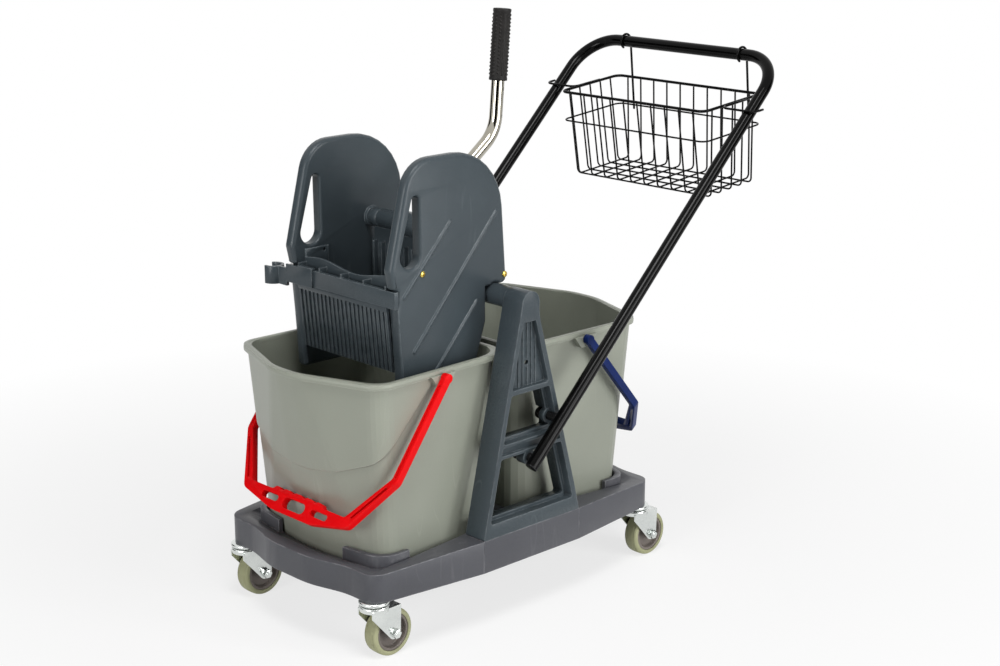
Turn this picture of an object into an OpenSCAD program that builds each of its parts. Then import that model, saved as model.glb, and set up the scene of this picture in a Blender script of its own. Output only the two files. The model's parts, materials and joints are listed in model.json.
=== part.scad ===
// Double mop bucket trolley: two drafted buckets on a three piece base with swivel casters,
// two uprights that carry a lever wringer, a bent push handle and a hanging wire basket.
// The origin is on the floor under the middle of the base. +X points to the push handle,
// -X to the wringer bucket, Z up. The rear bucket is the front bucket turned half round.

/* [Base] */
// Length of the base between the corner faces of its two ends
base_l = 606; // [590:1:640]
// How far the middle of each end bows out past the corner faces
base_bow = 18; // [10:1:26]
// Width of the base at the centre section
base_w = 406; // [400:1:430]
// Width of the base at its corners
base_end_w = 356; // [344:1:372]
// Length of the centre section between the two end trays
centre_l = 208; // [206:1:220]
// Height of the underside of the base above the floor
ground_clear = 95; // [93:1:110]
// Height of the end trays at their outer ends
base_h = 44; // [40:1:50]
// Height of the centre section, which carries the uprights
centre_h = 52; // [48:1:60]
// Wall thickness of the three base mouldings
base_wall = 4; // [3:0.5:5]
// Corner radius of the base in plan
base_r = 28; // [22:1:34]
// Height of the pocket floor that each bucket stands on, above the underside of the base
pocket_lift = 15; // [12:1:18]
// Height of the corner lugs above the pocket floor
lug_h = 42; // [38:1:48]

/* [Casters] */
// Diameter of the wheels over the tyre
wheel_d = 75; // [66:1:77]
// Width of the tyres
wheel_w = 25; // [20:1:28]
// Thickness of the tyre on its wheel
tyre_t = 8; // [5:0.5:11]
// Trail of the axle behind the swivel axis
caster_trail = 26; // [20:1:30]
// Thickness of the pressed steel fork
fork_t = 2.5; // [2:0.1:3]
// Diameter of the swivel bearing
swivel_d = 46; // [40:1:48]
// Diameter of the caster stem
stem_d = 10; // [8:0.5:12]
// Diameter of the wheel axle
axle_d = 8; // [6:0.5:9]
// Distance from the corner faces to the stems, along the base
stem_inset_x = 17; // [15:1:22]
// Distance from the corner sides to the stems, across the base
stem_inset_y = 20; // [18:1:24]

/* [Buckets] */
// Length of a bucket at its rim, from the inner end to the corners
bucket_l = 256; // [248:1:262]
// How far the nose of a bucket bows out past its corners
bucket_bow = 48; // [36:1:54]
// Width of a bucket at its rim, at the nose end
bucket_w = 322; // [306:1:326]
// Width of a bucket at its rim, at the inner end
bucket_inner_w = 308; // [296:1:312]
// Half width of the flat middle of the nose
nose_w = 28; // [20:1:36]
// Height of a bucket
bucket_h = 311; // [292:1:320]
// Draft angle of the sides, the corners and the inner end
side_draft = 2.8; // [2:0.1:4]
// Draft angle of the middle of the nose
nose_draft = 8.8; // [7.8:0.1:9.4]
// Wall thickness of a bucket
bucket_wall = 3; // [2.4:0.1:4]
// Width of the turned over lip
lip_w = 6; // [5:0.5:7]
// Height of the turned over lip
lip_h = 8.5; // [7:0.5:11]
// Distance between the two bucket lips at the middle of the trolley
bucket_gap = 16; // [14:1:24]
// How far the nose panel stands proud of the bucket wall
panel_proud = 2.2; // [1:0.1:2.6]

/* [Bails] */
// Distance of the bail pivots from the middle of the trolley
pivot_x = 152; // [146:1:158]
// Depth of the bail pivots below the rim
pivot_drop = 11; // [10:0.5:14]
// Distance from the pivot to the lower edge of the grip
bail_reach = 276; // [270:1:290]
// Length of the straight arms of a bail
bail_arm = 172; // [160:1:180]
// Half width of the grip of a bail
grip_half = 120; // [108:1:128]
// Width of the arms across the bucket
arm_w = 10.6; // [9:0.1:12]
// Thickness of a bail, square to its plane
bail_t = 12; // [10:0.5:13]
// Diameter of the bail pivot pins
pin_d = 9; // [7:0.5:9.5]
// Angle of the front bail at rest, from straight down
front_bail_rest = 36; // [36:0.5:44]
// Angle of the rear bail at rest, from straight down
rear_bail_rest = 40; // [36:0.5:46]

/* [Uprights] */
// Depth of an upright across the trolley
upright_t = 42; // [38:1:43]
// Length of the foot of an upright
foot_l = 206; // [200:1:206]
// Wall thickness of the frame of an upright
upright_wall = 8.5; // [7:0.5:10]
// Height of the crossbar axis above the foot
bar_h = 357; // [352:1:370]
// Offset of the crossbar from the middle of the trolley
bar_x = -6; // [-9:0.5:-4]
// Diameter of the crossbar
bar_d = 33.6; // [30:0.2:34]
// Wall thickness of the crossbar
bar_wall = 3; // [2:0.5:4]
// Diameter of the accessory hole in each upright
accessory_d = 8; // [6:0.5:10]

/* [Wringer] */
// Width of the wringer over its side plates
wringer_w = 252; // [244:1:260]
// Thickness of the side plates
plate_t = 20; // [16:1:22]
// Distance from the crossbar axis forward to the front bar
wringer_l = 203; // [198:1:208]
// Height of the side plates above the crossbar axis
plate_top = 227; // [220:1:236]
// Depth of the side plates below the crossbar axis
plate_drop = 127; // [110:1:132]
// Radius of the big round of the side plates
plate_round = 98; // [80:1:110]
// Height of the front bar
front_bar_h = 26; // [22:1:30]
// Number of slats in the front grid
slats = 22; // [16:1:24]
// Width of a slat
slat_w = 4; // [3:0.5:5]
// Diameter of the mop handle that the clip holds
mop_d = 24; // [22:0.5:26]

/* [Press] */
// Forward distance of the press shaft from the crossbar axis
shaft_x = 49; // [45:1:54]
// Height of the press shaft above the crossbar axis
shaft_z = 94; // [88:1:98]
// Diameter of the press shaft
shaft_d = 16; // [14:0.5:17]
// Outer diameter of the press hub
hub_d = 30; // [26:0.5:31]
// Length of the press plate below the shaft
press_l = 165; // [150:1:168]
// Diameter of the lever tube
lever_d = 21; // [18:0.5:22]
// Length of the lever from the shaft to its bend
lever_low = 210; // [190:1:225]
// Length of the lever from its bend to the top
lever_up = 192; // [170:1:210]
// Angle of the lower lever above level
lever_angle = 37; // [34:1:41]
// Angle of the upper lever above level
lever_up_angle = 85; // [80:1:89]
// Length of the rubber grip
grip_l = 110; // [95:1:125]
// Wall thickness of the rubber grip
grip_t = 4; // [3:0.5:5]
// Wire diameter of the return springs
spring_wire = 3; // [2:0.2:3.4]
// Coils of each return spring
spring_coils = 4; // [3:1:5]

/* [Push handle] */
// Diameter of the handle tube
tube_d = 20; // [18:0.5:22]
// Wall thickness of the handle tube
tube_wall = 1.5; // [1:0.1:2.5]
// Distance from the outer faces of the uprights to the legs
handle_stand = 5; // [3:0.5:12]
// Angle of the legs above level
handle_angle = 44.4; // [42:0.2:47]
// Length of the legs from the lower bolt to the middle of the top bar
handle_l = 800; // [780:1:820]
// Length of the leg below the lower bolt
handle_tail = 14; // [12:1:24]
// Bend radius of the handle
handle_bend = 70; // [60:1:85]
// Distance between the two bolts of a leg
bolt_pitch = 75; // [72:0.5:78]
// Diameter of the handle bolts
bolt_d = 8; // [6:0.5:8]
// Diameter of the spacers on the handle bolts
spacer_d = 14; // [12:0.5:16]

/* [Basket] */
// Width of the basket across the trolley
basket_w = 326; // [300:1:340]
// Depth of the basket along the trolley
basket_l = 148; // [130:1:156]
// Height of the basket
basket_h = 147; // [130:1:155]
// Drop of the basket rim below the handle bar
basket_drop = 66; // [60:1:80]
// How much each side leans in towards the floor of the basket
basket_lean = 9; // [6:1:11]
// Diameter of the basket wires
wire_d = 3; // [2.4:0.2:3.4]
// Diameter of the rim wire
rim_d = 5; // [4:0.2:6]
// Forward droop of the basket
basket_tilt = 5.8; // [4:0.2:7]
// Wires across the long sides
long_wires = 10; // [8:1:12]
// Wires across the short sides
short_wires = 5; // [4:1:6]
// Distance between the two hanging hooks
hook_span = 264; // [240:2:280]

/* [Hidden] */
$fn = 48;

// Fits between pieces
seat_gap = 0.3;
run_fit = 0.08;
bolt_fit = 0.15;
cut = 1;
slab_t = 0.02;
far = 900;

// Levels of the base
tray_end_z = ground_clear + base_h;
deck_z = ground_clear + centre_h;
pocket_z = ground_clear + pocket_lift;
dish_z = pocket_z + 17;
half_l = base_l / 2;
half_w = base_w / 2;
half_end = base_end_w / 2;
half_centre = centre_l / 2;
tray_slope = atan((deck_z - tray_end_z) / (half_l - half_centre));
stem_x = half_l - stem_inset_x;
stem_y = half_end - stem_inset_y;
pocket_clear = 2;

// Levels and corners of the buckets
bucket_z = pocket_z + seat_gap;
rim_z = bucket_z + bucket_h;
pivot_z = rim_z - pivot_drop;
inner_x = bucket_gap / 2 + lip_w;
corner_x = inner_x + bucket_l;
pad_y = bucket_w / 2 + lip_w + 1;
bail_y = pad_y + 0.4;

// Crossbar axis, which the wringer is drawn around
bar_z = deck_z + bar_h;
wringer_half = wringer_w / 2;
inside_half = wringer_half - plate_t;
panel_half = inside_half - seat_gap;

// Lower and upper edges of the two cross bars of an upright
bar_two = [bar_h * 0.343, bar_h * 0.404];
bar_one = [bar_h * 0.612, bar_h * 0.634];

// Place of the push handle
upright_y = half_w - upright_t;
handle_w = base_w + 2 * handle_stand + tube_d;
handle_y = handle_w / 2;
bolt_back = 2.5;
bolt_drop = 9.451;
low_bolt = [bar_x - bolt_back, bar_two[0] - bolt_drop];
leg_dir = [cos(handle_angle), sin(handle_angle)];
high_bolt = low_bolt + bolt_pitch * leg_dir;
low_bolt_x = low_bolt.x;
low_bolt_z = deck_z + low_bolt.y;
handle_bar = [low_bolt_x + handle_l * leg_dir.x, 0, low_bolt_z + handle_l * leg_dir.y];

// Colours
slate = [0.30, 0.32, 0.35];
bucket_grey = [0.58, 0.58, 0.54];
black = [0.05, 0.05, 0.05];
chrome = [0.75, 0.75, 0.74];
zinc = [0.70, 0.71, 0.72];
brass = [0.80, 0.66, 0.25];

// Direction of a vector
function unit(v) = v / norm(v);

// Point of a closed outline, counted round its end
function at(pts, i) = pts[(i + len(pts)) % len(pts)];

// Arc of n steps that rounds corner p = [x, y, radius] between its neighbours a and b
function corner(a, p, b, n) =
    let (q = [p.x, p.y],
        u = unit([a.x, a.y] - q),
        v = unit([b.x, b.y] - q),
        half = acos(u * v) / 2,
        middle = q + unit(u + v) * p.z / sin(half),
        first = q + u * p.z / tan(half) - middle,
        last = q + v * p.z / tan(half) - middle,
        start = atan2(first.y, first.x),
        turn = (atan2(last.y, last.x) - start + 540) % 360 - 180)
    p.z == 0 ? [q] : [for (i = [0:n])
        middle + p.z * [cos(start + turn * i / n), sin(start + turn * i / n)]];

// Outline through corners [x, y, radius], each rounded by its radius
function rounded(pts, n = 6) =
    [for (i = [0:len(pts) - 1]) each corner(at(pts, i - 1), pts[i], at(pts, i + 1), n)];

// Length rounded to a hundredth, so that the runs of a bent bar meet exactly
function snap(v) = round(v * 100) / 100;

// The same piece on both sides of the trolley
module both_sides() {
    children();
    mirror([0, 1, 0]) children();
}

// The same piece at both ends of the trolley, turned half round
module both_ends() {
    children();
    rotate([0, 0, 180]) children();
}

// Straight round bar from a to b
module rod(a, b, r) {
    d = b - a;
    translate(a) rotate([0, acos(d.z / norm(d)), atan2(d.y, d.x)]) cylinder(r = r, h = norm(d));
}

// Round section of a bar, or of a tube with the given wall
module section(r, wall) {
    difference() {
        circle(r);
        if (wall > 0) circle(r - wall);
    }
}

// Straight run of a bent bar along Z, with what follows it
module run(l, r, wall = 0) {
    linear_extrude(snap(l)) section(r, wall);
    translate([0, 0, snap(l)]) children();
}

// Bend of a bar from Z towards X, with what follows it. A bend that isn't square stops a hair
// short, and a collar a hair thicker joins it to the next run.
lap = 0.4;
hair = 0.02;
module turn(angle, bend, r, wall = 0) {
    square_bend = angle == 90;
    short = square_bend ? 0 : lap / 4 / bend * 180 / PI;
    multmatrix([[-1, 0, 0, bend], [0, 0, 1, 0], [0, 1, 0, 0], [0, 0, 0, 1]])
        rotate_extrude(angle = angle - short) translate([bend, 0]) section(r, wall);
    translate([bend, 0, 0]) rotate([0, angle, 0]) translate([-bend, 0, 0]) {
        if (!square_bend) translate([0, 0, -lap])
            linear_extrude(2 * lap) section(r + hair, wall > 0 ? wall + 2 * hair : 0);
        children();
    }
}

// Rectangular ring of bent wire between x0 and x1, level at z
module wire_ring(x0, x1, half_y, z, r, bend) {
    a = 2 * snap(half_y - bend);
    b = snap(x1 - x0 - 2 * bend);
    translate([x0, -a / 2, z]) rotate([-90, 0, 0])
        run(a, r) turn(90, bend, r) run(b, r) turn(90, bend, r)
        run(a, r) turn(90, bend, r) run(b, r) turn(90, bend, r);
}

// Outline in x and z, drawn across the trolley from y0 to y1
module across(y0, y1) {
    translate([0, y1, 0]) rotate([90, 0, 0]) linear_extrude(y1 - y0) children();
}

// Round bar across the trolley from y0 to y1 at x, z
module pin_across(x, z, d, y0, y1) {
    translate([x, y1, z]) rotate([90, 0, 0]) cylinder(d = d, h = y1 - y0);
}

// Plan of a bucket at height z, grown by g
function bucket_plan(z, g) =
    let (s = (rim_z - z) * tan(side_draft) - g,
        f = (rim_z - z) * tan(nose_draft) - g)
    rounded([[-inner_x - s, -(bucket_inner_w / 2 - s), 45], [-corner_x + s, -(bucket_w / 2 - s), 35],
        [-corner_x - bucket_bow + f, -nose_w, 110], [-corner_x - bucket_bow + f, nose_w, 110],
        [-corner_x + s, bucket_w / 2 - s, 35], [-inner_x - s, bucket_inner_w / 2 - s, 45]]);

// Plan of an end tray, grown by g and cut back by seam from the centre section
function tray_plan(g, seam) =
    rounded([[-half_centre - seam, -(half_w + g), 0], [-(half_l + g), -(half_end + g), base_r + g],
        [-(half_l + g), -112, 140], [-(half_l + base_bow + g), -46, 160],
        [-(half_l + base_bow + g), 46, 160], [-(half_l + g), 112, 140],
        [-(half_l + g), half_end + g, base_r + g], [-half_centre - seam, half_w + g, 0]]);

// Thin slice of a bucket
module bucket_slice(z, g) {
    translate([0, 0, z]) linear_extrude(slab_t) polygon(bucket_plan(z, g));
}

// End tray as a block with its sloping top, grown by g and lowered by drop
module tray_block(g, seam, drop, z0) {
    difference() {
        translate([0, 0, z0]) linear_extrude(deck_z + cut - z0) polygon(tray_plan(g, seam));
        translate([-half_centre, 0, deck_z - drop]) rotate([0, -tray_slope, 0])
            translate([-far, -far / 2, 0]) cube([far * 2, far, far / 4]);
    }
}

// Dished hollow of the deck round a bucket, lowered by drop
module dish(drop) {
    margin = 8 - drop;
    nose = half_l + base_bow - margin;
    hull() {
        translate([0, 0, deck_z - drop]) linear_extrude(cut + drop)
            polygon(rounded([[-20, -(upright_y - 8), 10], [-half_centre, -(upright_y - 4), 10],
                [-half_l + margin, -half_end + margin, base_r - 8],
                [-nose, -46, 120], [-nose, 46, 120],
                [-half_l + margin, half_end - margin, base_r - 8],
                [-half_centre, upright_y - 4, 10], [-20, upright_y - 8, 10]], 4));
        translate([0, 0, dish_z - drop]) linear_extrude(slab_t) polygon(bucket_plan(dish_z, 6 + drop));
    }
}

// Straight pocket under the foot of a bucket, grown by g
module pocket(g) {
    translate([0, 0, pocket_z - g]) linear_extrude(centre_h)
        polygon(bucket_plan(dish_z, pocket_clear + g));
}

// Corner lug that keeps the foot of a bucket in its pocket
module lug() {
    lug_z = pocket_z + lug_h;
    lug_clear = 3.4;
    lug_t = 7;
    translate([0, 0, pocket_z - base_wall + cut]) linear_extrude(lug_h + base_wall - cut) intersection() {
        difference() {
            polygon(bucket_plan(lug_z, lug_clear + lug_t));
            polygon(bucket_plan(lug_z, lug_clear));
        }
        translate([-half_l, 78]) square([half_l - 214, half_end]);
    }
}

// Front end tray
module tray() {
    boss_d = stem_d + 14;
    seam = 0.2;
    color(slate) difference() {
        union() {
            difference() {
                tray_block(0, seam, 0, ground_clear);
                difference() {
                    tray_block(-base_wall, seam + base_wall, base_wall, ground_clear - cut);
                    dish(base_wall);
                    pocket(base_wall);
                    both_sides() translate([-stem_x, stem_y, 0]) cylinder(d = boss_d, h = far);
                    both_sides() for (x = [-half_centre - 60, -half_centre - 130])
                        translate([x, 0, 0]) cube([base_wall - 1, far, far]);
                    both_sides() translate([-far, 60, 0]) cube([far, base_wall - 1, far]);
                }
                dish(0);
            }
            both_sides() lug();
        }
        pocket(0);
        both_sides() translate([-stem_x, stem_y, ground_clear - cut])
            cylinder(d = stem_d + 2 * bolt_fit, h = 28 + cut);
    }
}

// Places of the screws that hold an upright down
module upright_screw_places() {
    for (x = [-0.36, 0.36]) translate([x * foot_l, half_w - upright_t / 2, 0]) children();
}
upright_screw_d = 6;
upright_screw_l = 16;

// Middle of the base, with the deck for the uprights
module centre_section() {
    inset = half_centre - base_wall;
    color(slate) difference() {
        translate([-half_centre, -half_w, ground_clear]) cube([centre_l, base_w, centre_h]);
        difference() {
            translate([-inset, -half_w + base_wall, ground_clear - cut])
                cube([2 * inset, base_w - 2 * base_wall, centre_h - base_wall + cut]);
            both_ends() {
                dish(base_wall);
                pocket(base_wall);
            }
            for (x = [-60, 0, 60]) translate([x - base_wall / 2, -half_w, 0]) cube([base_wall, base_w, far]);
        }
        both_ends() {
            dish(0);
            pocket(0);
        }
        both_sides() upright_screw_places() cylinder(d = upright_screw_d + 2 * bolt_fit, h = far);
    }
}

// Left and right edge of an upright at height z above its foot
function edge_left(z) = -foot_l / 2 - 1 + (bar_x - bar_d / 2 + foot_l / 2) * z / bar_h;
function edge_right(z) = foot_l / 2 + (bar_x + bar_d / 2 - foot_l / 2) * z / (bar_h - 20);

// Window of an upright between two heights, set in from the edges
module window(z0, z1, set, r) {
    polygon(rounded([[edge_left(z0) + set, z0, r], [edge_right(z0) - set, z0, r],
        [edge_right(z1) - set, z1, r], [edge_left(z1) + set, z1, r]], 4));
}

// Heights and ledges of the windows of an upright
foot_bar = 23;
panel_top = bar_h * 0.92;
ledge = 6;
ledge_y = 14;

// One upright, drawn on the -Y side
module upright() {
    outer = -half_w;
    inner = -upright_y;
    web_y = outer + ledge_y;
    color(slate) translate([0, 0, deck_z]) {
        difference() {
            across(outer, inner) {
                polygon(rounded([[edge_left(0), 0, 2], [foot_l / 2, 0, 2],
                    [edge_right(40) + 1, 40, 50], [bar_x + bar_d / 2 + 1, bar_h - 22, 70],
                    [bar_x + bar_d / 2 + 1, bar_h, 0], [bar_x - bar_d / 2 - 1, bar_h, 0]], 4));
                translate([bar_x, bar_h]) circle(d = bar_d + 2);
            }
            for (z = [[foot_bar, bar_two[0]], [bar_two[1], bar_one[0]]]) difference() {
                union() {
                    across(outer - cut, web_y) window(z[0], z[1], upright_wall, 4);
                    across(web_y - cut, web_y + ledge + cut)
                        window(z[0] + ledge, z[1] - ledge / 2, upright_wall + ledge, 3);
                    across(web_y + ledge, inner + cut) window(z[0], z[1], upright_wall, 4);
                }
                bolt_ears(outer);
            }
            across(outer - cut, outer + 10) window(bar_one[1], panel_top, upright_wall, 3);
            across(outer + 16, inner + cut) window(bar_one[1], panel_top, upright_wall, 3);
            across(outer - cut, outer + 5) window(bar_two[0] + 5, bar_two[1] - 5, upright_wall, 2);
            pin_across(bar_x, bar_h * 0.734, accessory_d, outer - cut, inner + cut);
            for (i = [0, 1]) {
                b = [low_bolt, high_bolt][i];
                behind = outer + [low_ear, high_ear][i][1];
                pin_across(b.x, b.y, bolt_d + 2 * bolt_fit, outer - cut, inner + cut);
                pin_across(b.x, b.y, nut_d + 2 * seat_gap, behind, inner + cut);
            }
            pin_across(high_bolt.x, high_bolt.y, spacer_d + 2 * seat_gap, outer - cut, outer + high_ear[0]);
            for (x = [-0.36, 0.36]) translate([x * foot_l, -half_w + upright_t / 2, -cut])
                cylinder(d = upright_screw_d + 2 * bolt_fit, h = upright_screw_l + cut);
        }
        for (x = [-18, -9, 0, 9, 18]) intersection() {
            translate([bar_x + x - 1, outer + 8, bar_one[1]]) cube([2, 3, panel_top - bar_one[1]]);
            across(outer, inner) window(bar_one[1] - cut, panel_top + cut, upright_wall, 3);
            difference() {
                translate([-far, -far, 0]) cube(2 * far);
                pin_across(bar_x, bar_h * 0.734, accessory_d + 6, outer - cut, inner + cut);
            }
        }
        pin_across(bar_x, bar_h, bar_d - 2 * bar_wall - 2 * bolt_fit, inner, inner + 20);
    }
}

// Ears of an upright for the two handle bolts
ear_d = 24;
low_ear = [0, 17];
high_ear = [12, 22];
nut_d = spacer_d + 4;
module bolt_ears(outer) {
    pin_across(low_bolt.x, low_bolt.y, ear_d, outer + low_ear[0], outer + low_ear[1]);
    pin_across(high_bolt.x, high_bolt.y, ear_d, outer + high_ear[0], outer + high_ear[1]);
}

// Screws up through the deck into the feet of the uprights
module upright_screws() {
    head_h = 4;
    color(zinc) both_sides() upright_screw_places() {
        translate([0, 0, deck_z - base_wall - head_h]) cylinder(d = upright_screw_d * 1.8, h = head_h);
        translate([0, 0, deck_z - base_wall - cut])
            cylinder(d = upright_screw_d, h = base_wall + upright_screw_l - seat_gap + cut);
    }
}

// Tube between the uprights that the wringer hooks over
module crossbar() {
    color(slate) translate([bar_x, upright_y, bar_z]) rotate([90, 0, 0]) difference() {
        cylinder(d = bar_d, h = 2 * upright_y);
        translate([0, 0, -cut]) cylinder(d = bar_d - 2 * bar_wall, h = 2 * upright_y + 2 * cut);
    }
}

// Centres of the handle bolts on one side
bolt_places = [for (s = [0, bolt_pitch]) [low_bolt_x + s * leg_dir.x, low_bolt_z + s * leg_dir.y]];

// Bent push handle
module push_handle() {
    r = tube_d / 2;
    leg = handle_l + handle_tail - handle_bend;
    color(black) difference() {
        translate([0, -handle_y, 0]) rotate_leg() translate([0, 0, -handle_tail]) rotate([0, 0, 90])
            run(leg, r, tube_wall) turn(90, handle_bend, r, tube_wall)
            run(handle_w - 2 * handle_bend, r, tube_wall) turn(90, handle_bend, r, tube_wall)
            run(leg, r, tube_wall);
        both_sides() for (b = bolt_places)
            pin_across(b.x, b.y, bolt_d + 2 * bolt_fit, handle_y - tube_d, handle_y);
    }
}

// Spacers between the handle and the uprights, one solid for each bolt
module handle_spacers() {
    near = [for (e = [low_ear, high_ear]) half_w - e[0]];
    color(black) both_sides() for (i = [0, 1]) difference() {
        pin_across(bolt_places[i].x, bolt_places[i].y, spacer_d, near[i], handle_y - tube_d / 4);
        pin_across(bolt_places[i].x, bolt_places[i].y, bolt_d + 2 * bolt_fit, near[i] - cut, handle_y);
        translate([0, handle_y, 0]) rotate_leg() cylinder(d = tube_d + 0.2, h = far, center = true);
    }
}

// Turns an upright cylinder into the line of the handle legs
module rotate_leg() {
    translate([low_bolt_x, 0, low_bolt_z]) rotate([0, 90 - handle_angle, 0]) children();
}

// Studs from inside the handle legs
module handle_bolts() {
    blind_end = handle_y + tube_d / 4;
    far_ends = [for (e = [low_ear, high_ear]) half_w - e[1] - 12];
    color(black) both_sides() for (i = [0, 1]) {
        pin_across(bolt_places[i].x, bolt_places[i].y, bolt_d, far_ends[i], blind_end);
    }
}

// Round knob nuts on the inner ends of the handle bolts
module handle_nuts() {
    color(black) both_sides() for (i = [0, 1]) {
        face = half_w - [low_ear[1], high_ear[1]][i];
        difference() {
            union() {
                pin_across(bolt_places[i].x, bolt_places[i].y, spacer_d, face - 4, face);
                pin_across(bolt_places[i].x, bolt_places[i].y, nut_d, face - 12, face - 4);
            }
            pin_across(bolt_places[i].x, bolt_places[i].y, bolt_d + 2 * run_fit, face - 12 - cut, face + cut);
        }
    }
}

// Plugs in the open ends of the handle
module handle_end_caps() {
    cap_t = 2;
    color(black) both_sides() translate([0, handle_y, 0]) rotate_leg()
        translate([0, 0, -handle_tail]) {
            translate([0, 0, -cap_t]) cylinder(d = tube_d, h = cap_t);
            cylinder(d = tube_d - 2 * tube_wall - 2 * bolt_fit, h = handle_tail / 2);
        }
}

// Fixed upper half of each caster bearing, with its stem and king pin
swivel_gap = 0.5;
crown_z = wheel_d + 3.5;
race_z = crown_z + fork_t + 6;
module caster_mounts() {
    king_d = stem_d;
    head_h = 2;
    color(zinc) both_sides() for (x = [-stem_x, stem_x]) translate([x, stem_y, 0]) {
        translate([0, 0, race_z + swivel_gap])
            cylinder(d = swivel_d, h = ground_clear - race_z - swivel_gap);
        translate([0, 0, crown_z - head_h]) cylinder(d = king_d, h = ground_clear + 26 - crown_z + head_h);
        translate([0, 0, crown_z - head_h - 0.4]) cylinder(d = king_d + 6, h = head_h);
    }
}

// Swivelling fork, drawn round its swivel axis with the axle trailing towards +X
module fork() {
    half_gap = wheel_w / 2 + 2.5;
    nose = swivel_d / 2 - 2;
    tail = caster_trail + 12;
    color(zinc) difference() {
        union() {
            translate([0, 0, crown_z]) {
                cylinder(d = swivel_d - 2, h = race_z - crown_z);
                translate([-nose + 4, -half_gap - fork_t, 0])
                    cube([nose - 4 + tail, 2 * (half_gap + fork_t), fork_t]);
            }
            both_sides() across(half_gap, half_gap + fork_t) difference() {
                polygon(rounded([[-nose + 4, crown_z + fork_t, 0], [tail, crown_z + fork_t, 0],
                    [tail - 2, wheel_d / 2 - 2, 8], [caster_trail - 4, wheel_d / 2 - 12, 10],
                    [-nose + 4, crown_z - 8, 4]], 5));
                translate([caster_trail, wheel_d / 2]) circle(d = axle_d + 2 * bolt_fit);
            }
        }
        translate([0, 0, crown_z - cut]) cylinder(d = stem_d + 2 * run_fit, h = far);
    }
}

// Wheel body with webbed sides, drawn round its axle
module wheel() {
    rim_r = wheel_d / 2 - tyre_t;
    half = wheel_w / 2;
    color([0.5, 0.47, 0.45]) rotate([90, 0, 0]) rotate_extrude()
        polygon([[axle_d / 2 + run_fit, -half - 2], [axle_d / 2 + 4, -half - 2], [axle_d / 2 + 5, -4],
            [rim_r - 6, -4], [rim_r - 4, -half + 1], [rim_r, -half + 1], [rim_r, half - 1],
            [rim_r - 4, half - 1], [rim_r - 6, 4], [axle_d / 2 + 5, 4], [axle_d / 2 + 4, half + 2],
            [axle_d / 2 + run_fit, half + 2]]);
}

// Tyre with rounded shoulders
module tyre() {
    r0 = wheel_d / 2 - tyre_t + 0.05;
    half = wheel_w / 2;
    color([0.56, 0.56, 0.42]) rotate([90, 0, 0]) rotate_extrude()
        polygon(rounded([[r0, -half, 0], [wheel_d / 2, -half, 5], [wheel_d / 2, half, 5], [r0, half, 0]], 4));
}

// Axle bolt with its head and nut
module axle() {
    outside = wheel_w / 2 + 2.5 + fork_t;
    color(zinc) {
        pin_across(0, 0, axle_d, -outside - 7, outside + 1);
        pin_across(0, 0, axle_d + 6, outside, outside + 4);
        translate([0, -outside, 0]) rotate([90, 0, 0]) cylinder(d = axle_d + 7, h = 5.5, $fn = 6);
    }
}

// Places a caster piece: end is -1 for front, side is -1 for right
module caster_at(end, side) {
    translate([end * stem_x, side * stem_y, 0]) children();
}
module wheel_at(end, side) {
    caster_at(end, side) translate([caster_trail, 0, wheel_d / 2]) children();
}

// Raised panel on the nose of a bucket, above the slanting plane that the bail hangs in
panel_lean = 43;
panel_set = 7;
module nose_panel() {
    intersection() {
        hull() {
            bucket_slice(bucket_z + 12, panel_proud);
            bucket_slice(rim_z - slab_t, panel_proud);
        }
        translate([-pivot_x, 0, pivot_z]) rotate([0, panel_lean, 0])
            translate([-far, -far / 2, -far / 2]) cube([far - panel_set, far, far]);
    }
}

// One bucket, drawn at the front
module bucket() {
    color(bucket_grey) {
        difference() {
            union() {
                difference() {
                    translate([0, 0, rim_z - lip_h]) linear_extrude(lip_h) polygon(bucket_plan(rim_z, lip_w));
                    translate([0, 0, rim_z - lip_h - cut]) linear_extrude(lip_h - bucket_wall + cut)
                        polygon(bucket_plan(rim_z, lip_w - 2.5));
                }
                hull() {
                    bucket_slice(bucket_z, -7);
                    bucket_slice(bucket_z + 9, 0);
                    bucket_slice(rim_z - slab_t, 0);
                }
                nose_panel();
                both_sides() pivot_pad();
            }
            hull() {
                bucket_slice(bucket_z + 4, -7 - bucket_wall);
                bucket_slice(bucket_z + 13, -bucket_wall);
                bucket_slice(rim_z + cut, -bucket_wall);
            }
        }
        both_sides() {
            pin_across(-pivot_x, pivot_z, pin_d, pad_y - cut, bail_outer - arm_cap - seat_gap);
        }
    }
}

// Gusset under the lip that carries a bail pin
module pivot_pad() {
    across(bucket_w / 2 - 24, pad_y) translate([-pivot_x, rim_z - lip_h])
        polygon([[-24, 2], [24, 2], [11, pivot_z - rim_z + lip_h - 13], [-11, pivot_z - rim_z + lip_h - 13]]);
}

// Half outline of a bail in its plane, y across and z down from the pivot
bail_outer = bail_y + arm_w;
bail_elbow = bail_arm;
arm_cap = 2.5;
grip_h = 30;
grip_in = bail_reach - grip_h;
side_slot = [40, 10];
side_slot_y = 59;
mid_slot = [52, 17];
finger_r = 9;
finger_step = 26;
slot_drop = 12;
function bail_side() = [[bail_outer, 0, 0], [bail_outer, -bail_elbow, 14],
    [grip_half + 4, -bail_reach + 16, 14], [46, -bail_reach, 40]];
function bail_side_in() = [[bail_y, 0, 0], [bail_y, -bail_elbow + 4, 8],
    [grip_half - 8, -grip_in, 8], [60, -grip_in, 10], [54, -grip_in + 6, 6]];
function flip(pts) = [for (i = [len(pts) - 1:-1:0]) [-pts[i].x, pts[i].y, pts[i].z]];

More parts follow.
